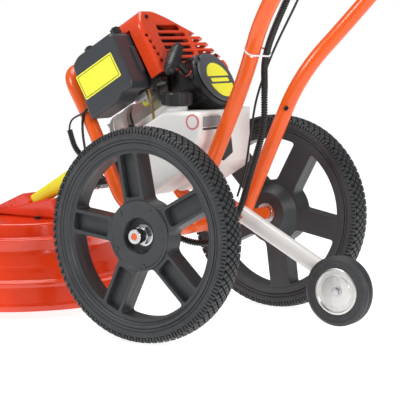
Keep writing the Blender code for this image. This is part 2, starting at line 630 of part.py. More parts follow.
def cylinder():
    """Finned barrel and head over the crankcase, with the piston in its bore and the plug in front."""
    up = ENGINE @ at(0, CYL_A, 0)
    half, depth, pitch = 0.0270, 0.0330, 0.0120
    barrel = place("cylinder", box((-half, half), (-depth, depth), (0.0490, 0.1530), up), ALU, 0.5, 0.5,
                   smooth=False)
    for k in range(9):
        low = 0.0560 + pitch * k
        fin = 0.0380 - 0.0075 * max(0, k - 6)
        join(barrel, box((-fin, fin), (-depth - 0.001, depth + 0.001), (low, low + 0.0050), up))
    combine(barrel, rod(0.0205, 0.040, 0.1380, up))
    plug = [(0, -0.0030), (0.0065, -0.0030), (0.0065, 0.008), (0.0095, 0.008), (0.0095, 0.015),
            (0.0060, 0.016), (0.0050, 0.0270), (0, 0.0270)]
    join(barrel, turned(plug, up @ at(0, -depth - 0.001, 0.1420) @ BACK_ON, 12))
    # the piston stands at the bottom of its stroke, its crown a stroke below the head
    crown = 0.1380 - STROKE
    skirt = [(0, crown - 0.010), (0.0160, crown - 0.010), (0.0160, crown - 0.036),
             (0.0200, crown - 0.036), (0.0200, crown), (0, crown)]
    place("piston", turned(skirt, up, 20), ALU, 0.4, 0.8)


SHROUD = [(0.092, 0.020), (0.092, 0.150), (0.071, 0.182), (0.028, 0.182), (-0.008, 0.169),
          (-0.099, 0.1245), (-0.150, 0.062), (-0.150, 0.020)]


def shroud():
    """Red cover over the cylinder, open in front and below, with cooling slots in its rear face."""
    front, back = SHROUD_A
    wall = 0.003
    facing = ENGINE @ BACK_ON
    cover = place("engine_shroud", extruded([SHROUD], -back, -front, facing), RED, 0.3, smooth=False)
    hollow = [(x, z - (0.02 if z < 0.03 else 0)) for x, z in inset(SHROUD, wall)]
    combine(cover, extruded([hollow], wall - back, 0.01 - front, facing))
    combine(cover, rod(0.0590, 0.0, 0.3, SHAFT, 28))
    combine(cover, box((0.076, 0.105), (front - 0.01, 0.1560), (0.0, 0.1535), ENGINE))
    combine(cover, box((-0.30, 0.30), (0.0, 0.30), (0.0, 0.045), ENGINE))
    pitch = 0.0142
    slots = []
    for k in range(5):
        z = 0.0650 + pitch * k
        slots.append(rectangle(-0.047, 0.046, z, z + 0.0082))
        slots.append(rectangle(-0.120 + 0.0075 * max(0, k - 1), -0.062, z, z + 0.0078))
        slots.append(rectangle(0.0700 + 0.0024 * k, 0.0800 + 0.0024 * k, z, z + 0.0072))
    slots.append(rectangle(-0.036, 0.040, 0.1360, 0.1485))
    combine(cover, extruded(slots, -back - 0.01, 2 * wall - back, facing))


ROPE = ENGINE @ at(0.0458, 0.2150, 0.0065) @ Matrix.Rotation(math.radians(37), 4, "Y")


def recoil():
    """Rope starter: housing, pulley, lid, and the T handle whose rope leaves the housing's mouth."""
    low, high = RECOIL_A
    cup = [(0.0540, low), (0.0580, low), (0.0580, high - 0.006), (0.0540, high), (0.0060, high),
           (0.0060, high - 0.004), (0.0520, high - 0.006), (0.0540, high - 0.010)]
    housing = place("recoil_housing", turned(cup, SHAFT), BLACK, 0.5)
    join(housing, rod(0.0085, 0.0, 0.0185, ROPE, 12))
    combine(housing, rod(0.0040, -0.010, 0.040, ROPE, 12))
    pulley = [(0.0064, 0.2000), (0.0400, 0.2000), (0.0400, 0.2025), (0.0330, 0.2055),
              (0.0330, 0.2085), (0.0400, 0.2115), (0.0400, 0.2140), (0.0064, 0.2140)]
    place("recoil_pulley", turned(pulley, SHAFT, 16), WHITE, 0.4)
    face = high + GAP
    lid = [(0, face), (0.0510, face), (0.0540, high + 0.0030), (0.0510, high + 0.0070),
           (0, high + 0.0080)]
    cover = place("recoil_cover", turned(lid, SHAFT), SLATE, 0.4)
    join(cover, rod(0.0090, face, high + 0.0060, ENGINE @ at(0.037, 0, 0.041) @ ALONG_Y, 12))
    bar = [(0, -0.049), (0.0065, -0.046), (0.0095, -0.030), (0.0105, 0.0), (0.0095, 0.030),
           (0.0065, 0.046), (0, 0.049)]
    handle = place("recoil_handle", turned(bar, ROPE @ at(0, 0, 0.061) @ ALONG_X, 12), BLACK, 0.4)
    join(handle, rod(0.0060, 0.0200, 0.0610, ROPE, 12))
    join(handle, rod(0.0020, 0.0, 0.0610, ROPE, 8))


def intake():
    """Carburettor on the left of the cylinder, choke lever, primer bulb, air filter and its cover."""
    body = place("carburettor", box((0.0384, 0.0800), (0.0860, 0.1240), (0.0420, 0.0800), ENGINE),
                 ALU, 0.4, 0.6, smooth=False)
    join(body, box((0.0480, 0.0780), (0.0900, 0.1200), (0.0240, 0.0450), ENGINE))
    join(body, rod(0.0055, 0.0120, 0.0300, ENGINE @ at(0.0690, 0.1140, 0), 12))
    bulb_x, bulb_a = 0.0600, 0.1010
    combine(body, rod(0.0089, 0.0200, 0.0290, ENGINE @ at(bulb_x, bulb_a, 0), 16))
    base = place("filter_base", box((0.0803, 0.0860), (0.0380, 0.1640), (0.0340, 0.1460), ENGINE),
                 BLACK, 0.6, smooth=False)
    combine(base, rod(0.0090, 0.07, 0.1, ENGINE @ at(0, 0.105, 0.061) @ ALONG_X, 16))
    side_on = ENGINE @ SIDE_ON
    side = [(0.022, 0.028), (0.098, 0.026), (0.116, 0.038), (0.140, 0.034), (0.147, 0.044),
            (0.152, 0.146), (0.146, 0.152), (0.056, 0.152), (0.036, 0.142)]
    cover = place("filter_cover", extruded([side], 0.0866, 0.1480, side_on), SLATE, 0.45, smooth=False)
    hollow = [(0.040, 0.040), (0.138, 0.048), (0.142, 0.144), (0.058, 0.148), (0.040, 0.138)]
    combine(cover, extruded([hollow], 0.08, 0.1090, side_on))
    knob = [(0, 0.1500), (0.0070, 0.1500), (0.0095, 0.1560), (0.0095, 0.1670), (0.0070, 0.1700),
            (0, 0.1700)]
    for a in (0.062, 0.136):
        join(cover, turned(knob, ENGINE @ at(0.1050, a, 0), 12))
    pin = ENGINE @ at(0.0830, 0.1480, 0.0240)
    lever = box((-0.0027, 0.0005), (-0.0040, 0.0040), (-0.0240, 0.0090), pin)
    place("choke_lever", lever, BLACK, 0.5, smooth=False)
    bulb = [(0, 0.0), (0.0085, 0.0), (0.0085, -0.004), (0.0060, -0.0095), (0, -0.0110)]
    place("primer_bulb", turned(bulb, ENGINE @ at(bulb_x, bulb_a, 0.0237), 16), YELLOW, 0.3)


TANK = [(0.120, 0.038), (0.116, 0.045), (0.070, 0.045), (-0.110, 0.012), (-0.120, 0.0),
        (-0.120, -0.120), (-0.110, -0.132), (0.108, -0.132), (0.120, -0.118)]
# seen from the side the tank slopes with the shaft, above and below
TANK_SIDE = [(0.060, 0.390), (0.060, 0.440), (-0.039, 0.440), (-0.039, 0.428), (-0.134, 0.372),
             (-0.128, 0.325), (-0.087, 0.256), (0.005, 0.312)]


def fuel():
    """Tank under the engine, notched for the crankcase, with its cap on the left shoulder."""
    tank = place("fuel_tank", extruded([TANK], *TANK_Z), WHITE, 0.25, smooth=False)
    combine(tank, extruded([TANK_SIDE], -0.2, 0.2, SIDE_ON), "INTERSECT")
    combine(tank, rod(0.0600, -0.10, 0.30, SHAFT, 28))
    combine(tank, box((-0.0590, 0.0590), (-0.05, 0.30), (-0.0400, 0.2), ENGINE))
    # the floor rises between the two lobes
    saddle = [(-0.200, 0.310), (-0.200, 0.230), (0.100, 0.230), (0.100, 0.345)]
    combine(tank, extruded([saddle], 0.000, 0.036, SIDE_ON))
    neck = at(CAP_X, CAP_Y, 0)
    join(tank, rod(0.0210, 0.400, 0.4370, neck, 24))
    # the fuel space in the left lobe, open up through the neck
    room = [(0.114, 0.008), (0.066, 0.008), (0.066, -0.122), (0.114, -0.112)]
    combine(tank, extruded([room], 0.330, 0.3700))
    combine(tank, rod(0.0160, 0.3600, 0.4500, neck, 20))
    cap = [(0, 0.4374), (0.0290, 0.4374), (0.0300, 0.4400), (0.0300, 0.4600), (0.0280, 0.4630),
           (0, 0.4640)]
    lid = place("fuel_cap", turned(cap, neck), BLACK, 0.5)
    join(lid, rod(0.0150, 0.4280, 0.4400, neck, 20))
    x, y, z = ENGINE @ Vector((0.0740, 0.1245, 0.060))
    hose = [(0.0765, -0.094, 0.3978), (0.0765, -0.096, 0.4180), (0.0760, -0.104, 0.4560),
            (0.0745, y + 0.0060, z + 0.0035), (x, y + 0.0010, z + 0.0006)]
    place("fuel_hose", tube(smooth_path(hose, 10), 0.0028, 2), BRASS, 0.5)


def muffler():
    """Muffler on the right of the cylinder, with its outlet turned down."""
    can = box((-0.092, -0.0384), (0.068, 0.132), (0.052, 0.100), ENGINE)
    body = place("muffler", can, STEEL, 0.5, 0.8, smooth=False)
    join(body, rod(0.0080, 0.02, 0.056, ENGINE @ at(-0.070, 0.100, 0), 12))


running_gear()
tail()
handles()
shaft_clamp()
controls()
cables()
shaft_line()
deck()
cutting_head()
clutch()
crank()
cylinder()
shroud()
recoil()
intake()
fuel()
muffler()
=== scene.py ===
import json
import math

import bmesh
import bpy
from mathutils import Matrix, Vector

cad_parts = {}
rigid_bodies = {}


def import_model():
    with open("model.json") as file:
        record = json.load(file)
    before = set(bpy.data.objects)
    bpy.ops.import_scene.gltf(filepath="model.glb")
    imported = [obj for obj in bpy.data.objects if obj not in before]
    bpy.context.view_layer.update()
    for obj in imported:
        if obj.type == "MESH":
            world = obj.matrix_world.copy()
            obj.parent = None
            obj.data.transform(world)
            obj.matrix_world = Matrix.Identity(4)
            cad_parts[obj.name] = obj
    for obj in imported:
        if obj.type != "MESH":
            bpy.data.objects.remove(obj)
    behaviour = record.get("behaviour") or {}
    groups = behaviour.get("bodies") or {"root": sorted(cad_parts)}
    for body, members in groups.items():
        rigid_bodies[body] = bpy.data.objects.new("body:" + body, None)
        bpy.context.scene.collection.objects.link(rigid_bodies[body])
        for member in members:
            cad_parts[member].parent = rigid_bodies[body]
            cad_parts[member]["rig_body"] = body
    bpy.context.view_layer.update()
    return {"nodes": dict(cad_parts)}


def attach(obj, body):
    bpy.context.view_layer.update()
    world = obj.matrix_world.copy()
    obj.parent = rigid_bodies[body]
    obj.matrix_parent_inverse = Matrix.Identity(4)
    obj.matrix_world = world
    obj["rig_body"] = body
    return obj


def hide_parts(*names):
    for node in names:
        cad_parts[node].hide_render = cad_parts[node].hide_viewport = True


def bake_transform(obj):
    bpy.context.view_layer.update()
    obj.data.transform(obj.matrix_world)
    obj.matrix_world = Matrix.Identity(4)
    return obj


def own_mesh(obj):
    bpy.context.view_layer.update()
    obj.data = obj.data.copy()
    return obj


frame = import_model()

# ---- the machine's own dimensions, in metres -----------------------------------------------
AXLE_Y, AXLE_Z = 0.046, 0.203
WHEEL_R, WHEEL_X, TYRE_HALF = 0.203, 0.239, 0.027
RIM_R, WINDOW_R0, WINDOW_R1 = 0.173, 0.068, 0.155
SPOKES, SPOKE_W = 5, 0.046
TREAD_COUNT, TREAD_ROW = 86, 0.009
CONDUIT_R, CONDUIT_STEP = 0.0066, 0.0012
LABEL = (0.033, 0.1325, 0.067, 0.1185)
TILT = {"left": 101.0, "right": 118.5}
AXLE_R, AXLE_TUBE_R = 0.0115, 0.0135
TUBE_R, FRAME_X = 0.015, 0.1
GRIP_LEN, GRIP_R = 0.125, 0.0185
HANDLE = [(0.1, 0.133, 0.493), (0.173, 0.217, 0.615), (0.225, 0.455, 0.895), (0.262, 0.68, 0.945)]
STRUT_R = 0.0165
STRUT_FRONT, STRUT_REAR = Vector((0.0, 0.0606, 0.2251)), Vector((0.0, 0.318, 0.0905))
TAIL = (0.037, 0.3025, 0.098)
TAIL_R, TAIL_HALF = 0.066, 0.015
SHAFT_POINT = (0.0, -0.2, 0.3705)
LEAN = math.radians(30.5)
SHAFT_TUBE_R = 0.015
CLAMP_A = -0.085
DECK_Y, DECK_R, DECK_TOP, DECK_RIM, DECK_WALL = -0.52, 0.26, 0.186, 0.0155, 0.003
SHROUD = [(0.092, 0.02), (0.092, 0.15), (0.071, 0.182), (0.028, 0.182), (-0.008, 0.169),
          (-0.099, 0.1245), (-0.15, 0.062), (-0.15, 0.02)]
SHROUD_A = (0.056, 0.186)
RECOIL_A = (0.1635, 0.232)
TANK_PLAN = [(0.12, 0.038), (0.116, 0.045), (0.07, 0.045), (-0.11, 0.012), (-0.12, 0.0), (-0.12, -0.16),
             (0.12, -0.16)]
TANK_Z = (0.25, 0.428)
TANK_SIDE = [(0.0452, 0.369), (0.0452, 0.428), (-0.039, 0.428), (-0.134, 0.372), (-0.128, 0.325),
             (-0.087, 0.256), (0.005, 0.312)]
CAP = (0.0915, -0.0285)
GAP = 0.0003

# ---- the view ------------------------------------------------------------------------------
SENSOR_MM, LENS_MM = 36, 145.24
CAMERA_SPOT = (2.653, 1.7995, 0.5906)
CAMERA_FORWARD, CAMERA_RIGHT = Vector((-0.8241, -0.556, -0.1074)), Vector((-0.5593, 0.829, 0))
# name, place, width in metres, watts
LAMPS = (("key", (2.6, -1.2, 2.6), 1.0, 58), ("fill", (1.2, 3.2, 1.6), 1.0, 52),
         ("top", (-0.4, -0.4, 3.2), 1.6, 46))
LAMP_AIM = Vector((0, -0.1, 0.35))
FLOOR_HALF = 9.0

# ---- frames --------------------------------------------------------------------------------
def at(x, y, z):
    return Matrix.Translation((x, y, z))


def spin(degrees):
    return Matrix.Rotation(math.radians(degrees), 4, "Z")


SHIFT = at(0, AXLE_Y, 0)
ENGINE = at(*SHAFT_POINT) @ Matrix.Rotation(LEAN, 4, "X")
CUTTER = at(0, DECK_Y, 0)
ALONG_X = Matrix.Rotation(math.pi / 2, 4, "Y")
ALONG_MINUS_X = Matrix.Rotation(-math.pi / 2, 4, "Y")
ALONG_Y = Matrix.Rotation(-math.pi / 2, 4, "X")
BACK_ON = Matrix.Rotation(math.pi / 2, 4, "X")
SIDE_ON = Matrix(((0, 0, 1, 0), (1, 0, 0, 0), (0, 1, 0, 0), (0, 0, 0, 1)))
SHAFT = ENGINE @ ALONG_Y
ROPE = ENGINE @ at(0.0458, 0.215, 0.0065) @ Matrix.Rotation(math.radians(37), 4, "Y")


def look_along(point, direction):
    z = Vector(direction).normalized()
    x = Vector((0, 0, 1)).cross(z).normalized()
    return Matrix.Translation(point) @ Matrix((x, z.cross(x), z)).transposed().to_4x4()


# ---- shapes --------------------------------------------------------------------------------
def form(bm, place=Matrix()):
    """A hidden object, its vertices moved into the machine's frame."""
    bmesh.ops.remove_doubles(bm, verts=bm.verts, dist=1e-6)
    bmesh.ops.recalc_face_normals(bm, faces=bm.faces)
    mesh = bpy.data.meshes.new("form")
    bm.to_mesh(mesh)
    bm.free()
    mesh.transform(SHIFT @ place)
    obj = bpy.data.objects.new("form", mesh)
    bpy.context.scene.collection.objects.link(obj)
    obj.hide_render = True
    return obj


def soften(points, radius, closed=True, steps=3):
    """Round the corners of an outline."""
    pts = [Vector(p) for p in points]
    out = []
    for i, corner in enumerate(pts):
        if not closed and i in (0, len(pts) - 1):
            out.append(corner)
            continue
        before, after = pts[i - 1] - corner, pts[(i + 1) % len(pts)] - corner
        reach = min(radius, 0.45 * before.length, 0.45 * after.length)
        a, b = corner + before.normalized() * reach, corner + after.normalized() * reach
        for k in range(steps + 1):
            t = k / steps
            out.append(a * (1 - t) ** 2 + corner * (2 * t * (1 - t)) + b * t * t)
    return out


def lathe(profile, place=Matrix(), soft=0.0008, steps=96):
    """Turn (radius, height) points round local Z. One that starts off the axis closes on itself."""
    closed = profile[0][0] > 1e-6
    points = soften(profile, soft, closed) if soft else profile
    bm = bmesh.new()
    rings = []
    for r, h in points:
        if r < 1e-6:
            rings.append([bm.verts.new((0, 0, h))] * steps)
        else:
            rings.append([bm.verts.new((*polar(r, 360 * i / steps), h)) for i in range(steps)])
    spans = list(zip(rings, rings[1:])) + ([(rings[-1], rings[0])] if closed else [])
    for a, b in spans:
        for i in range(steps):
            corners = list(dict.fromkeys((a[i - 1], a[i], b[i], b[i - 1])))
            if len(corners) > 2:
                bm.faces.new(corners)
    return form(bm, place)


def peg(r, low, high, place=Matrix(), soft=0.0008, steps=96):
    """A solid round bar between two heights."""
    return lathe([(0, low), (r, low), (r, high), (0, high)], place, soft, steps)


def pipe(inner, outer, low, high, place=Matrix(), soft=0.0008, steps=96):
    """A round bar with a bore through it."""
    return lathe([(inner, low), (outer, low), (outer, high), (inner, high)], place, soft, steps)


def plate(outlines, low, high, place=Matrix(), soft=0.0, edge=0.0, res=2):
    """Flat outlines in local X, Y that stand from low to high in Z, with rounded corners and edges."""
    curve = bpy.data.curves.new("outline", "CURVE")
    curve.dimensions = "2D"
    curve.fill_mode = "BOTH"
    curve.extrude = (high - low) / 2 - edge
    curve.bevel_depth = edge
    curve.bevel_resolution = res
    curve.offset = -edge
    for outline in outlines:
        points = soften(outline, soft) if soft and len(outline) < 30 else [Vector(p) for p in outline]
        spline = curve.splines.new("POLY")
        spline.points.add(len(points) - 1)
        for point, p in zip(spline.points, points):
            point.co = (p[0], p[1], 0, 1)
        spline.use_cyclic_u = True
    maker = bpy.data.objects.new("maker", curve)
    bpy.context.scene.collection.objects.link(maker)
    mesh = bpy.data.meshes.new_from_object(maker.evaluated_get(bpy.context.evaluated_depsgraph_get()))
    bpy.data.objects.remove(maker)
    bm = bmesh.new()
    bm.from_mesh(mesh)
    return form(bm, place @ at(0, 0, (low + high) / 2))


def block(x, y, z, place=Matrix(), edge=0.001, soft=None):
    """A box between two values on each axis, its edges rounded."""
    return plate([rectangle(*x, *y)], *z, place, soft=soft or edge * 1.5, edge=edge)


def sweep(path, radius, place=Matrix(), steps=20, pattern=(1.0,)):
    """A round bar along a path. The pattern scales its radius from ring to ring."""
    pts = [Vector(p) for p in path]
    bm = bmesh.new()
    normal = (pts[1] - pts[0]).orthogonal()
    rings = []
    for i, p in enumerate(pts):
        tangent = (pts[min(i + 1, len(pts) - 1)] - pts[max(i - 1, 0)]).normalized()
        normal = (normal - tangent * normal.dot(tangent)).normalized()
        side = tangent.cross(normal)
        r = radius * pattern[i % len(pattern)]
        ring = []
        for k in range(steps):
            c, s = polar(r, 360 * k / steps)
            ring.append(bm.verts.new(p + normal * c + side * s))
        rings.append(ring)
    for a, b in zip(rings, rings[1:]):
        for i in range(steps):
            bm.faces.new((a[i - 1], a[i], b[i], b[i - 1]))
    bm.faces.new(rings[0])
    bm.faces.new(rings[-1])
    return form(bm, place)


def merge(first, *others):
    """Several shapes as one object."""
    bm = bmesh.new()
    bm.from_mesh(first.data)
    for obj in others:
        bm.from_mesh(obj.data)
        bpy.data.objects.remove(obj)
    bm.to_mesh(first.data)
    bm.free()
    return first


def cut(obj, *tools, how="DIFFERENCE"):
    for tool in tools:
        change = obj.modifiers.new("cut", "BOOLEAN")
        change.operation = how
        change.object = tool
        change.solver = "EXACT"
    graph = bpy.context.evaluated_depsgraph_get()
    mesh = bpy.data.meshes.new_from_object(obj.evaluated_get(graph))
    obj.modifiers.clear()
    obj.data = mesh
    for tool in tools:
        bpy.data.objects.remove(tool)
    return obj


def polar(r, degrees):
    t = math.radians(degrees)
    return (r * math.cos(t), r * math.sin(t))


def arc(r, start, end, steps):
    return [polar(r, start + (end - start) * i / steps) for i in range(steps + 1)]


def circle(r, centre=(0, 0), steps=72):
    return [(x + centre[0], y + centre[1]) for x, y in arc(r, 0, 360 - 360 / steps, steps - 1)]


def rectangle(x0, x1, y0, y1):
    return [(x0, y0), (x1, y0), (x1, y1), (x0, y1)]


def smooth_path(points, count):
    """Read a Catmull-Rom curve through the points at even steps."""
    pts = [Vector(p) for p in points]
    pts = [2 * pts[0] - pts[1]] + pts + [2 * pts[-1] - pts[-2]]
    spans = len(pts) - 3
    path = []
    for i in range(count + 1):
        s = min(i / count * spans, spans - 1e-9)
        k, t = int(s), s - int(s)
        a, b, c, d = pts[k:k + 4]
        path.append(0.5 * (2 * b + (c - a) * t + (2 * a - 5 * b + 4 * c - d) * t * t
                           + (3 * b - 3 * c + d - a) * t ** 3))
    return path


def even(path, step):
    """The same path read at even distances."""
    out, left = [path[0]], step
    for a, b in zip(path, path[1:]):
        length = (b - a).length
        run = left
        while run < length:
            out.append(a.lerp(b, run / length))
            run += step
        left = run - length
    return out


def bent(points, radius, steps=10):
    """A polyline with each inner corner turned on an arc."""
    return soften(points, radius, closed=False, steps=steps)


def hex_bolt(r, height, place=Matrix()):
    """A washer with a hexagon head on it."""
    washer = peg(1.45 * r, 0, 0.12 * r, place, 0.0001, 32)
    head = plate([arc(r, 0, 300, 5)], 0.1 * r, height, place, edge=0.12 * r)
    return merge(washer, head)


def cap_screw(r, height, place=Matrix()):
    """A round head with a hexagon socket."""
    head = [(0, 0), (r, 0), (r, height), (0.55 * r, height), (0.5 * r, 0.4 * height), (0, 0.4 * height)]
    return lathe(head, place, 0.12 * r, 24)


# ---- looks ---------------------------------------------------------------------------------
DUST = (0.09, 0.088, 0.085)


def look(name, colour, rough, metal=0.0, vary=0.1, grain=500.0, bump=0.08, spread=0.06, coat=0.0,
         stretch=(1, 1, 1), specks=0.0, speck_colour=DUST, through=0.0, depth=0.0006):
    """A procedural finish: uneven colour, uneven roughness and a fine surface grain."""
    mat = bpy.data.materials.new(name)
    mat.use_nodes = True
    nodes, links = mat.node_tree.nodes, mat.node_tree.links
    shader = nodes["Principled BSDF"]
    coords = nodes.new("ShaderNodeTexCoord")
    mapping = nodes.new("ShaderNodeMapping")
    mapping.inputs["Scale"].default_value = stretch
    links.new(coords.outputs["Object"], mapping.inputs["Vector"])

    def noise(scale, detail):
        node = nodes.new("ShaderNodeTexNoise")
        node.inputs["Scale"].default_value = scale
        node.inputs["Detail"].default_value = detail
        links.new(mapping.outputs["Vector"], node.inputs["Vector"])
        return node.outputs["Fac"]

    def blend(fac, a, b):
        node = nodes.new("ShaderNodeMix")
        node.data_type = "RGBA"
        links.new(fac, node.inputs["Factor"])
        for value, socket in ((a, node.inputs["A"]), (b, node.inputs["B"])):
            if isinstance(value, tuple):
                socket.default_value = (*value, 1)
            else:
                links.new(value, socket)
        return node.outputs["Result"]

    def spread_of(fac, low, high, start=0.3, end=0.7):
        node = nodes.new("ShaderNodeMapRange")
        for socket, value in (("From Min", start), ("From Max", end), ("To Min", low), ("To Max", high)):
            node.inputs[socket].default_value = value
        links.new(fac, node.inputs["Value"])
        return node.outputs["Result"]

    broad = noise(11.0, 3.0)
    fine = noise(grain, 4.0)
    dark = tuple(c * (1 - vary) for c in colour)
    light = tuple(min(1.0, c * (1 + vary)) for c in colour)
    tone = blend(spread_of(broad, 0, 1), dark, light)
    if specks:
        dust = spread_of(noise(55.0, 6.0), 0, specks, 0.5, 0.72)
        tone = blend(dust, tone, speck_colour)
    links.new(tone, shader.inputs["Base Color"])
    links.new(spread_of(fine, max(rough - spread, 0.02), rough + spread), shader.inputs["Roughness"])
    relief = nodes.new("ShaderNodeBump")
    relief.inputs["Strength"].default_value = bump
    relief.inputs["Distance"].default_value = depth
    links.new(fine, relief.inputs["Height"])
    links.new(relief.outputs["Normal"], shader.inputs["Normal"])
    shader.inputs["Metallic"].default_value = metal
    shader.inputs["Coat Weight"].default_value = coat
    shader.inputs["Coat Roughness"].default_value = 0.08
    if through:
        shader.inputs["Subsurface Weight"].default_value = through
        shader.inputs["Subsurface Radius"].default_value = (0.02, 0.018, 0.015)
        shader.inputs["Subsurface Scale"].default_value = 0.5
    return mat


LOOKS = {
    "orange": (look("powder_coat_orange", (0.84, 0.105, 0.006), 0.3, coat=0.25, vary=0.05, grain=900,
                    bump=0.05, specks=0.05, speck_colour=(0.9, 0.3, 0.12)), "orange_paint"),
    "red": (look("deck_red_gloss", (0.84, 0.045, 0.004), 0.2, coat=0.5, vary=0.06, grain=260, bump=0.05,
                 specks=0.04, speck_colour=(0.9, 0.16, 0.08)), "red_paint"),
    "shroud": (look("shroud_red_plastic", (0.8, 0.06, 0.01), 0.26, coat=0.35, vary=0.07, grain=700,
                    bump=0.1), "red_plastic"),
    "charcoal": (look("charcoal_moulding", (0.034, 0.037, 0.041), 0.4, vary=0.14, grain=1500, bump=0.25,
                      specks=0.1, spread=0.08), "charcoal_plastic"),
    "tyre": (look("tyre_rubber", (0.032, 0.034, 0.037), 0.52, vary=0.2, grain=1100, bump=0.3,
                  specks=0.22, spread=0.1), "tyre_rubber"),
    "grip": (look("grip_rubber", (0.016, 0.016, 0.017), 0.72, vary=0.18, grain=1400, bump=0.4,
                  specks=0.1), "grip_rubber"),
    "black": (look("black_plastic", (0.013, 0.013, 0.014), 0.36, vary=0.18, grain=1200, bump=0.2,
                   specks=0.06), "black_plastic"),
    "slate": (look("slate_plastic", (0.042, 0.047, 0.054), 0.32, vary=0.08, grain=1000, bump=0.12,
                   specks=0.04), "slate_plastic"),
    "lid": (look("lid_plastic", (0.085, 0.091, 0.1), 0.36, vary=0.07, grain=900, bump=0.12),
            "slate_plastic"),
    "grey": (look("grey_plate", (0.25, 0.265, 0.285), 0.38, vary=0.07, grain=900, bump=0.12),
             "slate_plastic"),
    "white": (look("white_gloss_paint", (0.8, 0.79, 0.77), 0.22, coat=0.5, vary=0.03, grain=600, bump=0.05,
                   specks=0.05, speck_colour=(0.55, 0.53, 0.5)), "white_paint"),
    "tank": (look("tank_polythene", (0.84, 0.83, 0.81), 0.32, vary=0.03, grain=420, bump=0.1,
                  through=0.25), "tank_plastic"),
    "alu": (look("cast_aluminium", (0.66, 0.65, 0.63), 0.4, 0.85, vary=0.12, grain=1300, bump=0.45,
                 specks=0.15, speck_colour=(0.3, 0.29, 0.27), spread=0.1), "cast_aluminium"),
    "steel": (look("machined_steel", (0.6, 0.6, 0.61), 0.24, 1.0, vary=0.1, grain=700, bump=0.15,
                   stretch=(1, 1, 6)), "bright_steel"),
    "zinc": (look("brushed_zinc", (0.7, 0.69, 0.67), 0.3, 1.0, vary=0.12, grain=600, bump=0.2,
                  stretch=(1, 6, 1), spread=0.1), "zinc"),
    "yellow": (look("yellow_nylon", (0.9, 0.86, 0.04), 0.3, vary=0.05, grain=500, bump=0.06),
               "yellow_nylon"),
    "label": (look("label_film", (0.93, 0.9, 0.06), 0.42, vary=0.04, grain=900, bump=0.04), "yellow_nylon"),
    "brass": (look("brass_fitting", (0.62, 0.43, 0.15), 0.3, 0.9, vary=0.15, grain=900, bump=0.2),
              "fuel_line"),
    "hose": (look("fuel_line_amber", (0.55, 0.36, 0.13), 0.36, vary=0.12, grain=600, bump=0.08,
                  through=0.2), "fuel_line"),
    "bone": (look("natural_nylon", (0.72, 0.62, 0.44), 0.4, vary=0.08, grain=700, bump=0.08),
             "tank_plastic"),
    "rust": (look("ring_mark_red", (0.75, 0.1, 0.07), 0.45, vary=0.08, grain=600, bump=0.05), "red_plastic"),
    "rope": (look("starter_rope", (0.1, 0.1, 0.105), 0.8, vary=0.3, grain=900, bump=0.8,
                  stretch=(1, 1, 3), depth=0.001), "black_plastic"),
}


def dress(obj, kind, angle=35):
    obj.data.materials.clear()
    obj.data.materials.append(LOOKS[kind][0])
    obj.data.shade_smooth()
    obj.data.set_sharp_from_angle(angle=math.radians(angle))
    normals = obj.modifiers.new("normals", "WEIGHTED_NORMAL")
    normals.keep_sharp = True


def piece(name, obj, kind, replaces=(), body=None, angle=35):
    """Show a shape as a piece of the machine, on the body of the solid that it stands for."""
    obj.name = name
    obj.data.name = name
    obj.hide_render = False
    if replaces:
        body = frame["nodes"][replaces[0]]["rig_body"]
    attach(obj, body or "frame")
    if replaces:
        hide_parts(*replaces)
    dress(obj, kind, angle)
    return obj


# ---- wheels --------------------------------------------------------------------------------
def window(tilt, k):
    pitch = 360 / SPOKES
    mid = tilt + pitch * (k + 0.5)
    outer = pitch / 2 - math.degrees(math.asin(SPOKE_W / 2 / WINDOW_R1))
    inner = pitch / 2 - math.degrees(math.asin(SPOKE_W / 2 / WINDOW_R0))
    corners = arc(WINDOW_R1, mid - outer, mid + outer, 10) + arc(WINDOW_R0, mid + inner, mid - inner, 1)
    return corners


def on_spoke(tilt, k, corners):
    turn = Matrix.Rotation(math.radians(tilt + 360 / SPOKES * k), 2)
    return [tuple(turn @ Vector(corner)) for corner in corners]


def prism(bm, profile, middle, half):
    """Sweep an (x, radius) outline through a short angle about the wheel's axis."""
    ends = []
    for turn in (middle - half, middle + half):
        ends.append([bm.verts.new((*polar(r, turn), x)) for x, r in profile])
    a, b = ends
    for i in range(len(profile)):
        bm.faces.new((a[i - 1], a[i], b[i], b[i - 1]))
    bm.faces.new(a)
    bm.faces.new(b)


def crown(x):
    return WHEEL_R - 0.0026 * (x / 0.02) ** 2


def tread(place):
    """Diamond blocks round the crown and a row of lugs on each shoulder."""
    bm = bmesh.new()
    pitch = 360 / TREAD_COUNT
    row = TREAD_ROW
    for i in range(TREAD_COUNT):
        for j in range(-2, 3):
            middle, x = pitch * (i + 0.5 * (j % 2)), row * j
            base, top = [], []
            for ring, share, sink in ((base, 0.86, 0.0072), (top, 0.76, 0.0)):
                for du, dx in ((1, 0), (0, 1), (-1, 0), (0, -1)):
                    v = x + dx * row * share
                    ring.append(bm.verts.new((*polar(crown(v) - sink, middle + du * share * pitch / 2), v)))
            for k in range(4):
                bm.faces.new((base[k - 1], base[k], top[k], top[k - 1]))
            bm.faces.new(top)
        for side in (-1, 1):
            for k, low in ((0, 0.188), (0.5, 0.1915)):
                lug = [(side * 0.0225, 0.199), (side * 0.0252, 0.1982), (side * 0.0268, 0.1955),
                       (side * 0.0273, low), (side * 0.022, low)]
                prism(bm, lug, pitch * (i + k + 0.25), pitch * 0.155)
    return form(bm, place)


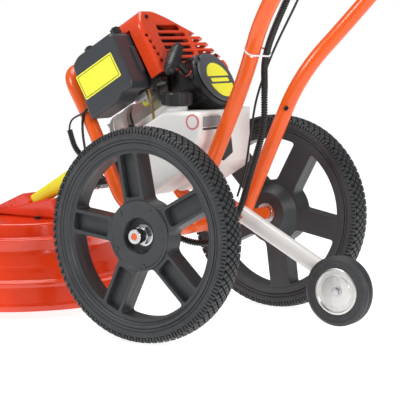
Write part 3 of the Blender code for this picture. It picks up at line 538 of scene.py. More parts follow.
def wheel(side, name):
    tilt = TILT[name]
    quarter = Matrix.Rotation(side * math.pi / 2, 4, "Z")
    place = at(side * WHEEL_X, 0, AXLE_Z) @ (ALONG_X if side > 0 else ALONG_MINUS_X) @ quarter
    bore = AXLE_R + 0.0005
    outer = [(0.158, -0.0235), (0.16, -0.0245), (RIM_R, -0.0245), (RIM_R, 0.0245), (0.1665, 0.0245),
             (0.166, 0.0222), (0.1628, 0.0215), (0.161, 0.0172), (0.158, 0.016)]
    hub = [(bore, -0.04), (0.0215, -0.04), (0.0215, -0.05), (0.044, -0.05), (0.06, -0.025),
           (0.0668, -0.024), (0.0668, 0.019), (0.0655, 0.0214), (0.0615, 0.0214), (0.06, 0.0192),
           (0.035, 0.0192), (0.0335, 0.0172), (0.033, 0.0), (bore, 0.0)]
    windows = [window(tilt, k) for k in range(SPOKES)]
    sunk = [(WINDOW_R0 + 0.005, -0.0168), (WINDOW_R0 + 0.005, 0.0168), (WINDOW_R1 - 0.001, 0.016),
            (WINDOW_R1 - 0.001, -0.016)]
    channels = [on_spoke(tilt, k, sunk) for k in range(SPOKES)]
    ring = [circle(0.161, steps=90), circle(0.06, steps=90)]
    web = plate(ring + windows, -0.024, 0.003, place, soft=0.009, edge=0.0016)
    face = plate(ring + windows + channels, 0.002, 0.017, place, soft=0.006, edge=0.0014)
    raised = []
    for k in range(SPOKES):
        raised.append(on_spoke(tilt, k + 0.5, [(0.053, -0.003), (0.053, 0.003), (0.061, 0.0045),
                                               (0.061, -0.0045)]))
    badge = plate(raised, 0.018, 0.0208, place, soft=0.001, edge=0.0005)
    rim = merge(lathe(outer, place, 0.0016, 144), lathe(hub, place, 0.0014), web, face, badge)
    piece(name + "_rim", rim, "charcoal", (name + "_wheel_rim",))
    h = TYRE_HALF
    case = [(RIM_R + 0.0004, -0.0235), (0.1755, -0.0256), (0.178, -0.0256), (0.1786, -0.0242),
            (0.1798, -0.0242), (0.1806, -h + 0.0006), (0.187, -h), (0.1905, -0.0258), (0.1945, -0.0205),
            (0.1962, -0.01), (0.1966, 0.0), (0.1962, 0.01), (0.1945, 0.0205), (0.1905, 0.0258),
            (0.187, h), (0.1806, h - 0.0006), (0.1798, 0.0242), (0.1786, 0.0242), (0.178, 0.0256),
            (0.1755, 0.0256), (RIM_R + 0.0004, 0.0235)]
    tyre = merge(lathe(case, place, 0.001, 168), tread(place))
    piece(name + "_tyre_tread", tyre, "tyre", (name + "_tyre",))
    race = [(AXLE_R + 0.0004, -0.049), (0.0145, -0.049), (0.015, -0.048), (0.018, -0.048),
            (0.0185, -0.049), (0.021, -0.049), (0.021, -0.0404), (AXLE_R + 0.0004, -0.0404)]
    piece(name + "_bearing", lathe(race, place, 0.0003), "steel", (name + "_hub_bearing",))
    washer = [(AXLE_R + 0.0008, 0.0004), (0.021, 0.0004), (0.021, 0.002), (0.018, 0.0026),
              (AXLE_R + 0.0008, 0.0026)]
    nut = plate([arc(0.0178, 0, 300, 5), circle(AXLE_R + 0.0009, steps=48)], 0.0024, 0.0118, place,
                edge=0.0008)
    inner = AXLE_R + 0.0008
    collar = [(inner, 0.011), (0.0142, 0.011), (0.0142, 0.0312), (0.013, 0.0326), (0.0066, 0.0326),
              (0.0066, 0.0313), (inner, 0.0313)]
    nut = merge(lathe(washer, place, 0.0003), nut, lathe(collar, place, 0.0005, 48))
    piece(name + "_nut", nut, "steel", (name + "_axle_nut",))


def running_gear():
    end, step = 0.27, 0.1875
    bar = [(0, -end), (AXLE_R, -end), (AXLE_R, -step), (AXLE_TUBE_R, -step), (AXLE_TUBE_R, step),
           (AXLE_R, step), (AXLE_R, end), (0, end)]
    piece("axle_bar", lathe(bar, at(0, 0, AXLE_Z) @ ALONG_X, 0.0012, 48), "orange", ("axle",))
    for side, name in ((1, "left"), (-1, "right")):
        wheel(side, name)


def tail():
    length = (STRUT_REAR - STRUT_FRONT).length
    line = look_along(STRUT_FRONT, STRUT_REAR - STRUT_FRONT)
    tube = pipe(0.0145, STRUT_R, 0, length, line, 0.0006, 48)
    piece("strut_tube", tube, "white", ("tail_strut",))
    pin = peg(0.0046, -0.0172, 0.0172, line @ at(0, 0, 0.012) @ ALONG_X, 0.0012, 24)
    piece("strut_pin", pin, "zinc")
    collar = pipe(AXLE_TUBE_R + GAP, 0.02, -0.018, 0.018, at(0, 0, AXLE_Z) @ ALONG_X, 0.0012, 48)
    web = [(-0.012, AXLE_Z + 0.0165), (0.012, AXLE_Z + 0.0165), (0.022, AXLE_Z + 0.034),
           (0.004, AXLE_Z + 0.046)]
    spigot = peg(0.0142, -0.055, 0.04, line, 0.002, 48)
    socket = merge(collar, plate([web], -0.01, 0.01, SIDE_ON, 0.003, 0.0012), spigot)
    piece("strut_socket", socket, "orange", ("tail_socket",))
    place = at(*TAIL) @ ALONG_X
    h = TAIL_HALF
    disc = [(0.0053, -0.0202), (0.012, -0.0202), (0.012, -h), (0.044, -h + 0.001),
            (0.044, h - 0.001), (0.0415, h), (0.0392, h), (0.0385, h - 0.003), (0.03, h - 0.0032),
            (0.0292, h - 0.0022), (0.012, h - 0.002), (0.0053, h - 0.002)]
    piece("tail_disc", lathe(disc, place, 0.0005), "zinc", ("tail_wheel_hub",))
    tyre = [(0.0443, -h), (0.053, -h), (0.054, -h + 0.0006), (0.06, -h), (TAIL_R, -h + 0.005),
            (TAIL_R, -0.0026), (TAIL_R - 0.0034, -0.0012), (TAIL_R - 0.0034, 0.0012), (TAIL_R, 0.0026),
            (TAIL_R, h - 0.005), (0.06, h), (0.054, h - 0.0006), (0.053, h), (0.0443, h)]
    piece("tail_tread", lathe(tyre, place, 0.0012, 120), "tyre", ("tail_wheel_tyre",))
    stem = peg(0.005, -0.064, 0.02, place, 0.0006, 24)
    near = hex_bolt(0.0085, 0.006, place @ at(0, 0, 0.0134))
    far = hex_bolt(0.0095, 0.01, place @ at(0, 0, -0.054) @ Matrix.Rotation(math.pi, 4, "X"))
    piece("tail_bolt", merge(stem, near, far), "steel", ("tail_wheel_bolt",))


# ---- frame, handles and controls -----------------------------------------------------------
def handle_path(side):
    foot = Vector((FRAME_X, 0, AXLE_Z))
    foot += (Vector(HANDLE[0]) - foot).normalized() * (AXLE_TUBE_R + 0.0008)
    return [(side * p[0], p[1], p[2]) for p in [foot, *HANDLE]]


def grip_frame(side):
    end, before = (Vector(p) for p in (handle_path(side)[-1], handle_path(side)[-2]))
    return look_along(end, before - end)


def zip_tie(place, r, tail_turn=0.0):
    """A strap round a tube with its square lock."""
    strap = pipe(r, r + 0.0011, -0.0018, 0.0018, place, 0.0003, 48)
    turn = spin(tail_turn)
    lock = block((r, r + 0.0045), (-0.0028, 0.0028), (-0.0026, 0.0026), place @ turn, 0.0006)
    end = block((r + 0.001, r + 0.0022), (0.002, 0.016), (-0.0016, 0.0016), place @ turn, 0.0004)
    return merge(strap, lock, end)


def handles():
    for side, name in ((1, "left"), (-1, "right")):
        tube = sweep(bent(handle_path(side), 0.09), TUBE_R, steps=40)
        piece(name + "_tube", tube, "orange", (name + "_handle_tube",))
        grip = [(0, -0.004), (GRIP_R - 0.003, -0.004), (GRIP_R, 0.0), (GRIP_R, 0.01)]
        for k in range(12):
            z = 0.014 + 0.0078 * k
            grip += [(GRIP_R - 0.0012, z), (GRIP_R - 0.0012, z + 0.002), (GRIP_R, z + 0.0026),
                     (GRIP_R, z + 0.0056)]
        grip += [(GRIP_R, GRIP_LEN - 0.004), (GRIP_R + 0.002, GRIP_LEN - 0.003), (GRIP_R + 0.002, GRIP_LEN),
                 (TUBE_R + GAP, GRIP_LEN), (TUBE_R + GAP, -GAP), (0, -GAP)]
        piece(name + "_grip_sleeve", lathe(grip, grip_frame(side), 0.0006, 64), "grip", (name + "_grip",))
    leg = [(FRAME_X, -0.0145, 0.206), (FRAME_X, -0.15, 0.232), (FRAME_X, -0.232, 0.4),
           (FRAME_X, -0.293, 0.5)]
    far = [(-x, y, z) for x, y, z in reversed(leg)]
    hoop = sweep(bent(leg + far, 0.045), TUBE_R - 0.001, steps=40)
    piece("hoop_tube", hoop, "orange", ("guard_hoop",))
    # a bolt through the right tube's flat, and one where the left tube meets the axle
    for name, point, out in (("tube_screw_a", (-0.1, 0.108, 0.43), (1, 0.25, -0.1)),
                             ("tube_screw_b", (0.1, 0.03, 0.268), (1, 0.3, 0))):
        out = Vector(out).normalized()
        line = look_along(Vector(point) + out * (TUBE_R - 0.0006), out)
        piece(name, cap_screw(0.0048, 0.004, line), "black")


def shaft_clamp():
    half, r = 0.016, SHAFT_TUBE_R + GAP
    ring = pipe(r, 0.022, CLAMP_A - half, CLAMP_A + half, SHAFT, 0.0012, 64)
    x = FRAME_X - TUBE_R - 0.0005
    foot = block((-0.011, 0.011), (CLAMP_A - 0.014, CLAMP_A + 0.014), (-0.062, -0.0195), ENGINE, 0.0015)
    bar = block((-x, x), (CLAMP_A - 0.012, CLAMP_A + 0.012), (-0.072, -0.056), ENGINE, 0.002)
    piece("clamp_bar", merge(ring, foot, bar), "black", ("shaft_clamp",))
    screws = []
    for sx in (-0.07, -0.03, 0.03, 0.07):
        under = ENGINE @ at(sx, CLAMP_A, -0.072) @ Matrix.Rotation(math.pi, 4, "X")
        screws.append(hex_bolt(0.0045, 0.004, under))
    piece("clamp_screws", merge(*screws), "zinc")


def controls():
    place = grip_frame(1)
    low, high = GRIP_LEN + 0.0035, GRIP_LEN + 0.07
    body = block((-0.022, 0.022), (-0.026, 0.026), (low, high), place, 0.004, 0.008)
    slot = (-0.0055, 0.0055)
    bore = peg(TUBE_R + 0.0008, low - 0.01, high + 0.01, place, 0)
    body = cut(body, bore, block(slot, (-0.03, -0.0175), (low - 0.01, high - 0.012), place, 0.0004),
               block(slot, (0.0175, 0.03), (low - 0.01, high - 0.012), place, 0.0004))
    piece("throttle_body", body, "black", ("throttle_housing",))
    screws = []
    for x, y in ((-0.0155, -0.0185), (0.0155, 0.0185), (-0.0155, 0.0185)):
        screws.append(cap_screw(0.0032, 0.0012, place @ at(x, y, high - 0.0004)))
    piece("throttle_screws", merge(*screws), "zinc")
    pin_z = low + 0.042
    trigger = [(-0.004, 0.0013), (0.006, 0.0013), (0.032, -0.0063), (0.087, -0.0115),
               (0.087, -0.0167), (0.03, -0.0155), (0.002, -0.0063), (-0.004, -0.002)]
    lock = [(-0.004, -0.002), (-0.004, 0.002), (0.012, 0.0115), (0.067, 0.0135),
            (0.067, 0.009), (0.034, 0.0075), (0.02, -0.0008), (0.012, -0.0012)]
    quarter = Matrix.Rotation(math.pi / 2, 4, "Y")
    for name, outline, y, kind, node in (("trigger_blade", trigger, -0.0205, "shroud", "throttle_trigger"),
                                         ("lockout_blade", lock, 0.0205, "black", "throttle_lockout")):
        lever = plate([outline], -0.0045, 0.0045, place @ at(0, y, pin_z) @ quarter, 0.002, 0.001)
        piece(name, lever, kind, (node,))
    y0, z0 = -0.008, low + 0.03
    rocker = [(-0.0325, z0), (-0.03, z0 + 0.004), (-0.0325, z0 + 0.008), (-0.03, z0 + 0.012),
              (-0.0325, z0 + 0.016), (-0.0223, z0 + 0.016), (-0.0223, z0)]
    flat = place @ at(0, y0 + 0.005, 0) @ BACK_ON @ Matrix.Scale(-1, 4, (0, 0, 1))
    switch = plate([[(x, z) for x, z in rocker]], -0.005, 0.005, flat, 0.0008, 0.0006)
    piece("stop_slider", switch, "shroud", ("stop_switch",))


def cables():
    place = grip_frame(1)
    leave = GRIP_LEN + 0.075
    route = [place @ Vector((0.012, -0.0235, leave)), (0.2, 0.428, 0.837), (0.169, 0.316, 0.724),
             (0.146, 0.239, 0.615), (0.116, 0.188, 0.535), (0.088, 0.168, 0.47),
             (0.074, 0.156, 0.396), (0.058, 0.118, 0.308), (0.046, 0.084, 0.233),
             (0.05, 0.04, 0.178), (0.062, -0.02, 0.17), (0.075, -0.09, 0.205),
             (0.078, -0.15, 0.275), (0.08, -0.165, 0.34), (0.074, -0.15, 0.395)]
    rings = even(smooth_path(route, 400), CONDUIT_STEP)
    ribs = sweep(rings, CONDUIT_R, steps=16, pattern=(1.0, 1.0, 0.74, 0.74))
    piece("conduit_ribs", ribs, "black", ("throttle_conduit",), angle=50)
    wire = [place @ Vector((-0.004, -0.024, leave)), (0.196, 0.455, 0.838), (0.15, 0.322, 0.715),
            (0.118, 0.246, 0.618), (0.1, 0.19, 0.535), (0.084, 0.15, 0.46),
            (0.07, 0.128, 0.396), (0.046, 0.1, 0.32), (0.034, 0.074, 0.262)]
    piece("stop_lead", sweep(smooth_path(wire, 160), 0.0022, steps=14), "black", ("stop_wire",))
    tube = [Vector(p) for p in handle_path(1)]
    # one strap holds the conduit to the left tube
    band = look_along(tube[1].lerp(tube[2], 0.44), tube[2] - tube[1])
    local = band.inverted() @ Vector((0.1195, 0.1935, 0.543))
    turn, lean = math.degrees(math.atan2(local.y, local.x)), math.degrees(
        math.acos((TUBE_R - CONDUIT_R) / math.hypot(local.x, local.y)))
    loops = []
    for out in (0.0015, 0.0004):
        large = arc(TUBE_R + out, turn + lean, turn + 360 - lean, 40)
        small = [(x + local.x, y + local.y) for x, y in arc(CONDUIT_R + out, turn - lean, turn + lean, 20)]
        loops.append(large + small)
    strap = plate(loops, -0.0018, 0.0018, band)
    lock = block((-0.003, 0.003), (TUBE_R + 0.0004, TUBE_R + 0.0048), (-0.0026, 0.0026),
                 band @ spin(turn + 180), 0.0006)
    piece("white_tie", merge(strap, lock), "white")
    # two leads, their ribbed sleeve and a strap hang on the hoop's left leg
    hang = look_along((FRAME_X, -0.242, 0.4165), (0, -0.061, 0.1))
    piece("natural_tie", zip_tie(hang, TUBE_R - 0.0008, 60), "bone")
    lead = smooth_path([(0.118, -0.236, 0.418), (0.122, -0.262, 0.404), (0.119, -0.272, 0.384),
                        (0.116, -0.268, 0.366)], 40)
    piece("connector_lead", sweep(lead, 0.0019, steps=12), "black")
    fall = [(0.116, -0.274, 0.382), (0.115, -0.262, 0.35), (0.112, -0.246, 0.33)]
    jacket = even(smooth_path(fall, 80), 0.0011)
    piece("connector_sleeve", sweep(jacket, 0.0062, steps=16, pattern=(1.0, 1.0, 0.78, 0.78)), "black",
          angle=50)
    drop = smooth_path([(0.11, -0.228, 0.432), (0.116, -0.24, 0.408), (0.116, -0.238, 0.36),
                        (0.112, -0.226, 0.318), (0.106, -0.19, 0.285)], 60)
    piece("ignition_lead", sweep(drop, 0.0026, steps=12), "black")


# ---- cutter --------------------------------------------------------------------------------
def deck():
    r, rim, top, wall = DECK_R, DECK_RIM, DECK_TOP, DECK_WALL
    shell = [(0.0235, top), (r - 0.073, top), (r - 0.0695, top - 0.004), (r - 0.0655, top - 0.027),
             (r - 0.063, top - 0.029), (r - 0.049, top - 0.0295), (r - 0.047, top - 0.0315),
             (r - 0.048, top - 0.035), (r - 0.051, top - 0.054), (r - 0.048, top - 0.062),
             (r - 0.032, top - 0.082), (r - 0.029, top - 0.085), (r - 0.024, top - 0.095),
             (r - 0.015, top - 0.109), (r - 0.005, top - 0.1125), (r - 0.005, top - 0.119),
             (r - 0.0065, top - 0.1215), (r - 0.003, rim + 0.015), (r, rim + 0.012),
             (r, rim), (r - wall, rim), (r - 0.01, top - 0.122), (r - 0.034, top - 0.086),
             (r - 0.055, top - 0.054), (r - 0.07, top - 0.032), (r - 0.074, top - wall),
             (0.0235, top - wall)]
    piece("deck_shell", lathe(shell, CUTTER, 0.0022, 192), "red", ("deck",), angle=50)
    floor = top + GAP
    lower = [(-0.549, floor), (-0.552, 0.19), (-0.424, 0.2235), (-0.386, 0.231), (-0.374, 0.2),
             (-0.372, floor)]
    upper = [(-0.5515, 0.1885), (-0.549, 0.2), (-0.541, 0.2065), (-0.474, 0.2355), (-0.456, 0.22),
             (-0.46, 0.195)]
    cheek = [(-0.43, 0.19), (-0.426, 0.22), (-0.39, 0.2275), (-0.378, 0.2), (-0.376, 0.19)]
    # room inside for the gear case, its neck and the shaft tube: radius, from, to, along
    rooms = ((0.0222, floor - 0.02, 0.2005, CUTTER), (0.0185, -0.39, -0.3255, SHAFT),
             (0.0165, -0.39, 0.0, SHAFT))
    shapes = []
    for shape in (plate([lower], -0.034, 0.034, SIDE_ON, 0.006, 0.003, 3),
                  plate([upper], -0.027, 0.027, SIDE_ON, 0.003, 0.0016),
                  plate([cheek], -0.0352, 0.0352, SIDE_ON, 0.003, 0.001)):
        tools = [peg(r, low, high, line, 0) for r, low, high, line in rooms]
        shapes.append(cut(shape, *tools))
    cover = merge(*shapes)
    ribs = [block((-0.0275, 0.0275), (a, a + 0.0064), (0.0125, 0.025), ENGINE, 0.0012)
            for a in (-0.378, -0.364, -0.35, -0.336)]
    piece("gearbox_cover", merge(cover, *ribs), "red", ("gear_cover",))
    screws = []
    for x, y in ((0.044, -0.54), (-0.044, -0.54), (0.044, -0.42), (-0.044, -0.42)):
        screws.append(hex_bolt(0.0055, 0.0052, at(x, y, top)))
    piece("deck_screws", merge(*screws), "black")


def shaft_line():
    low, high = -0.343, -0.036
    tube = pipe(0.0125, SHAFT_TUBE_R, low, high, SHAFT, 0.0004, 64)
    piece("shaft_outer", tube, "white", ("shaft_tube",))
    r = SHAFT_TUBE_R + 0.0001
    piece("shaft_sleeve", pipe(r, r + 0.0007, -0.322, -0.13, SHAFT, 0.0002, 64), "yellow")


def cutting_head():
    shell = [(0.009, 0.0835), (0.04, 0.0835), (0.052, 0.077), (0.056, 0.06), (0.056, 0.03),
             (0.053, 0.026), (0.029, 0.026), (0.029, 0.029), (0.051, 0.029), (0.053, 0.032),
             (0.053, 0.059), (0.05, 0.074), (0.039, 0.0805), (0.009, 0.0805)]
    body = lathe(shell, CUTTER, 0.0015)
    bumps = []
    for k in range(10):
        turn = CUTTER @ spin(36 * k + 7)
        bumps.append(block((0.0545, 0.0572), (-0.004, 0.004), (0.034, 0.056), turn, 0.001))
    eyes = []
    for degrees in (25, 205):
        turn = CUTTER @ spin(degrees) @ at(0.056, 0, 0.048) @ ALONG_X
        eyes.append(pipe(0.0026, 0.0052, -0.001, 0.0008, turn, 0.0004, 24))
    piece("head_shell", merge(body, *bumps), "black", ("head_housing",))
    piece("line_eyelets", merge(*eyes), "brass", body="cutter_head")
    knob = [(0, 0), (0.012, 0.0), (0.023, 0.0045), (0.028, 0.012), (0.028, 0.023),
            (0.022, 0.0264), (0.0122, 0.0264), (0.0122, 0.042), (0.004, 0.0425), (0.004, 0.062),
            (0, 0.062)]
    piece("knob_button", lathe(knob, CUTTER, 0.002), "slate", ("bump_knob",))
    # a coil spring round the knob's stem, its upper end held by the housing
    low, high, turns, steps = 0.0445, 0.0785, 3, 144
    rise = (high - low) / steps
    helix = [(*polar(0.0085, 360 * turns * i / steps), low + rise * i) for i in range(steps + 1)]
    spring = sweep(helix, 0.0011, CUTTER, 12)
    piece("spring_coil", spring, "steel", ("knob_spring",))
    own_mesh(spring)
    trail = ((0.0568, 0, 0.048), (0.11, 3, 0.0465), (0.17, 8, 0.042), (0.228, 15, 0.036))
    for name, start in (("a", 25), ("b", 205)):
        route = [(*polar(r, start + bend), z) for r, bend, z in trail]
        line = sweep(smooth_path(route, 60), 0.0013, CUTTER, 10)
        piece("trimmer_line_" + name, line, "yellow", ("cutting_line_" + name,))


# ---- engine --------------------------------------------------------------------------------
def clutch():
    neck = SHAFT_TUBE_R + GAP
    bell = [(neck, -0.06), (0.022, -0.06), (0.0228, -0.052), (0.0218, -0.05), (0.0236, -0.03),
            (0.03, -0.0275), (0.047, -0.022), (0.052, -0.016), (0.052, -0.006), (0.0508, -0.004),
            (0.0508, 0.018), (0.0522, 0.02), (0.0522, 0.034), (0.048, 0.0372), (0.044, 0.0372),
            (0.044, -0.014), (0.04, -0.018), (neck, -0.02)]
    body = lathe(bell, SHAFT, 0.001)
    ribs = []
    for k in range(6):
        turn = SHAFT @ spin(60 * k + 15) @ BACK_ON
        outline = [(0.0215, -0.056), (0.0235, -0.029), (0.048, -0.0215), (0.046, -0.0245),
                   (0.027, -0.04)]
        ribs.append(plate([outline], -0.0018, 0.0018, turn, 0.001, 0.0006))
    piece("clutch_bell", merge(body, *ribs), "alu", ("clutch_housing",))
    screws = []
    for k in range(4):
        x, y = polar(0.0475, 90 * k + 45)
        down = SHAFT @ at(x, y, -0.0205) @ Matrix.Rotation(math.pi, 4, "X")
        screws.append(cap_screw(0.004, 0.0045, down))
    piece("clutch_screws", merge(*screws), "steel")


def shroud():
    front, back = SHROUD_A
    facing = ENGINE @ BACK_ON
    cover = plate([SHROUD], -back, -front, facing, 0.012, 0.0075, 4)
    inner = [(x * 0.955 - 0.001, 0.0 if z < 0.03 else 0.02 + (z - 0.02) * 0.968) for x, z in SHROUD]
    tools = [plate([inner], 0.004 - back, 0.02 - front, facing, 0.01, 0.004, 3),
             peg(0.059, 0.0, 0.3, SHAFT, 0),
             plate([rectangle(0.076, 0.105, front - 0.02, 0.156)], -0.01, 0.1535, ENGINE, 0.004),
             plate([rectangle(-0.3, 0.3, 0.0, 0.3)], -0.02, 0.045, ENGINE)]
    pitch = 0.0142
    narrow, flared = [], []
    for k in range(6):
        z = 0.065 + pitch * k
        tall = 0.0082 if k < 5 else 0.0125
        narrow.append((-0.047 if k < 5 else -0.036, 0.046 if k < 5 else 0.04, z, z + tall))
        if k < 5:
            narrow.append((-0.17, -0.062, z, z + 0.0078))
            shift = 0.0024 * k
            narrow.append((0.07 + shift, 0.08 + shift, z, z + 0.0072))
    rim = 0.0013
    for x0, x1, z0, z1 in narrow:
        reach = 0.024 if x0 < -0.1 else 0.008
        tools.append(plate([rectangle(x0, x1, z0, z1)], -back - 0.01, reach - back, facing, 0.0036))
        flared.append(plate([rectangle(x0 - rim, x1 + rim, z0 - rim, z1 + rim)], -back - 0.01,
                            rim - back, facing, 0.0045, rim, 1))
    cover = cut(cover, *tools, *flared)
    piece("shroud_cover", cover, "shroud", ("engine_shroud",), angle=30)
    # a black sheet behind the slots: painted shade, standing in for the shade inside the shroud
    shade_sheet = plate([[(0.084, 0.05), (0.084, 0.14), (0.062, 0.17), (0.03, 0.17), (-0.01, 0.158),
                     (-0.092, 0.116), (-0.135, 0.06), (-0.135, 0.05)], circle(0.062)], 0.0255 - back,
                   0.0275 - back, facing, 0.006)
    piece("slot_shade_sheet", shade_sheet, "black")
    screws = [cap_screw(0.0045, 0.003, SHAFT @ at(x, -b, back - 0.0005)) for x, b in
              ((0.06, 0.166), (-0.118, 0.075))]
    piece("shroud_screws", merge(*screws), "black")


def recoil():
    low, high = RECOIL_A
    cup = [(0.054, low), (0.058, low), (0.058, high - 0.02), (0.0572, high - 0.0185),
           (0.058, high - 0.017), (0.058, high - 0.006), (0.054, high), (0.006, high),
           (0.006, high - 0.004), (0.052, high - 0.006), (0.054, high - 0.01)]
    mouth = lathe([(0.0042, 0.0), (0.0095, 0.0), (0.009, 0.008), (0.0085, 0.018), (0.0042, 0.018)], ROPE,
                  0.0008, 48)
    lugs = []
    for degrees in (35, 125, 215, 305):
        x, y = polar(0.056, degrees)
        lug = [(0, low + 0.002), (0.0062, low + 0.002), (0.0062, high - 0.012), (0.005, high - 0.01),
               (0, high - 0.01)]
        lugs.append(lathe(lug, SHAFT @ at(x, y, 0), 0.0008, 32))
    piece("recoil_cup", merge(lathe(cup, SHAFT, 0.001), mouth, *lugs), "black", ("recoil_housing",))
    lip = pipe(0.0042, 0.0082, 0.0176, 0.0195, ROPE, 0.0005, 48)
    piece("rope_guide", lip, "rust")
    face = high + GAP
    lid = [(0, face), (0.051, face), (0.054, high + 0.003), (0.052, high + 0.0066),
           (0.044, high + 0.0078), (0, high + 0.008)]
    boss = lathe([(0, face), (0.0095, face), (0.0095, high + 0.005), (0.008, high + 0.0064),
                  (0, high + 0.0064)], ENGINE @ at(0.037, 0, 0.041) @ ALONG_Y, 0.001, 40)
    piece("recoil_lid", merge(lathe(lid, SHAFT, 0.0012), boss), "lid", ("recoil_cover",))
    piece("lid_screw", cap_screw(0.0042, 0.0024, ENGINE @ at(0.037, high + 0.0062, 0.041) @ ALONG_Y), "black")
    facing = ENGINE @ BACK_ON
    r, middle, band = 0.0375, -0.008, 0.0085
    turn = math.degrees(math.asin(band / r))
    for name, side in (("upper", 1), ("lower", -1)):
        outline = [(x, middle + side * y) for x, y in arc(r, turn, 180 - turn, 36)]
        badge = plate([outline], -high - 0.0086, -high - 0.0079, facing, edge=0.0001)
        piece("lid_label_" + name, badge, "label")
    stripe = [(x, middle + y) for x, y in rectangle(-0.03, 0.03, -0.0042, 0.0042)]
    piece("lid_label_band", plate([stripe], -high - 0.0085, -high - 0.0079, facing, 0.002), "label")
    bar = [(0, -0.049), (0.008, -0.047), (0.0125, -0.03), (0.014, 0.0), (0.0125, 0.03),
           (0.008, 0.047), (0, 0.049)]
    tee = ROPE @ at(0, 0, 0.061) @ ALONG_X
    ridges = []
    for k in range(-5, 6):
        x = 0.0075 * k
        r = 0.0138 - 0.000002 * (x * 1000) ** 2
        ridges.append(lathe([(r - 0.002, x - 0.0012), (r + 0.0006, x - 0.0006), (r + 0.0006, x + 0.0006),
                             (r - 0.002, x + 0.0012)], tee, 0.0004, 40))
    neck = lathe([(0, 0.02), (0.0066, 0.02), (0.0072, 0.024), (0.0085, 0.056), (0, 0.056)], ROPE,
                 0.0006, 40)
    piece("starter_grip", merge(lathe(bar, tee, 0.004, 48), neck, *ridges), "black", ("recoil_handle",))
    # a short length of rope runs from the mouth up into the handle
    route = [(0, 0, 0.0002 * i) for i in range(-20, 121)]
    rope = sweep(route, 0.0019, ROPE, 12)
    rope.name = rope.data.name = "pull_rope"
    rope.hide_render = False
    dress(rope, "rope")
    ends = [tuple(SHIFT @ ROPE @ Vector((0, 0, z))) for z in (0.0, 0.02)]
    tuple(ends[0])
    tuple(ends[1])
    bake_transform(rope)


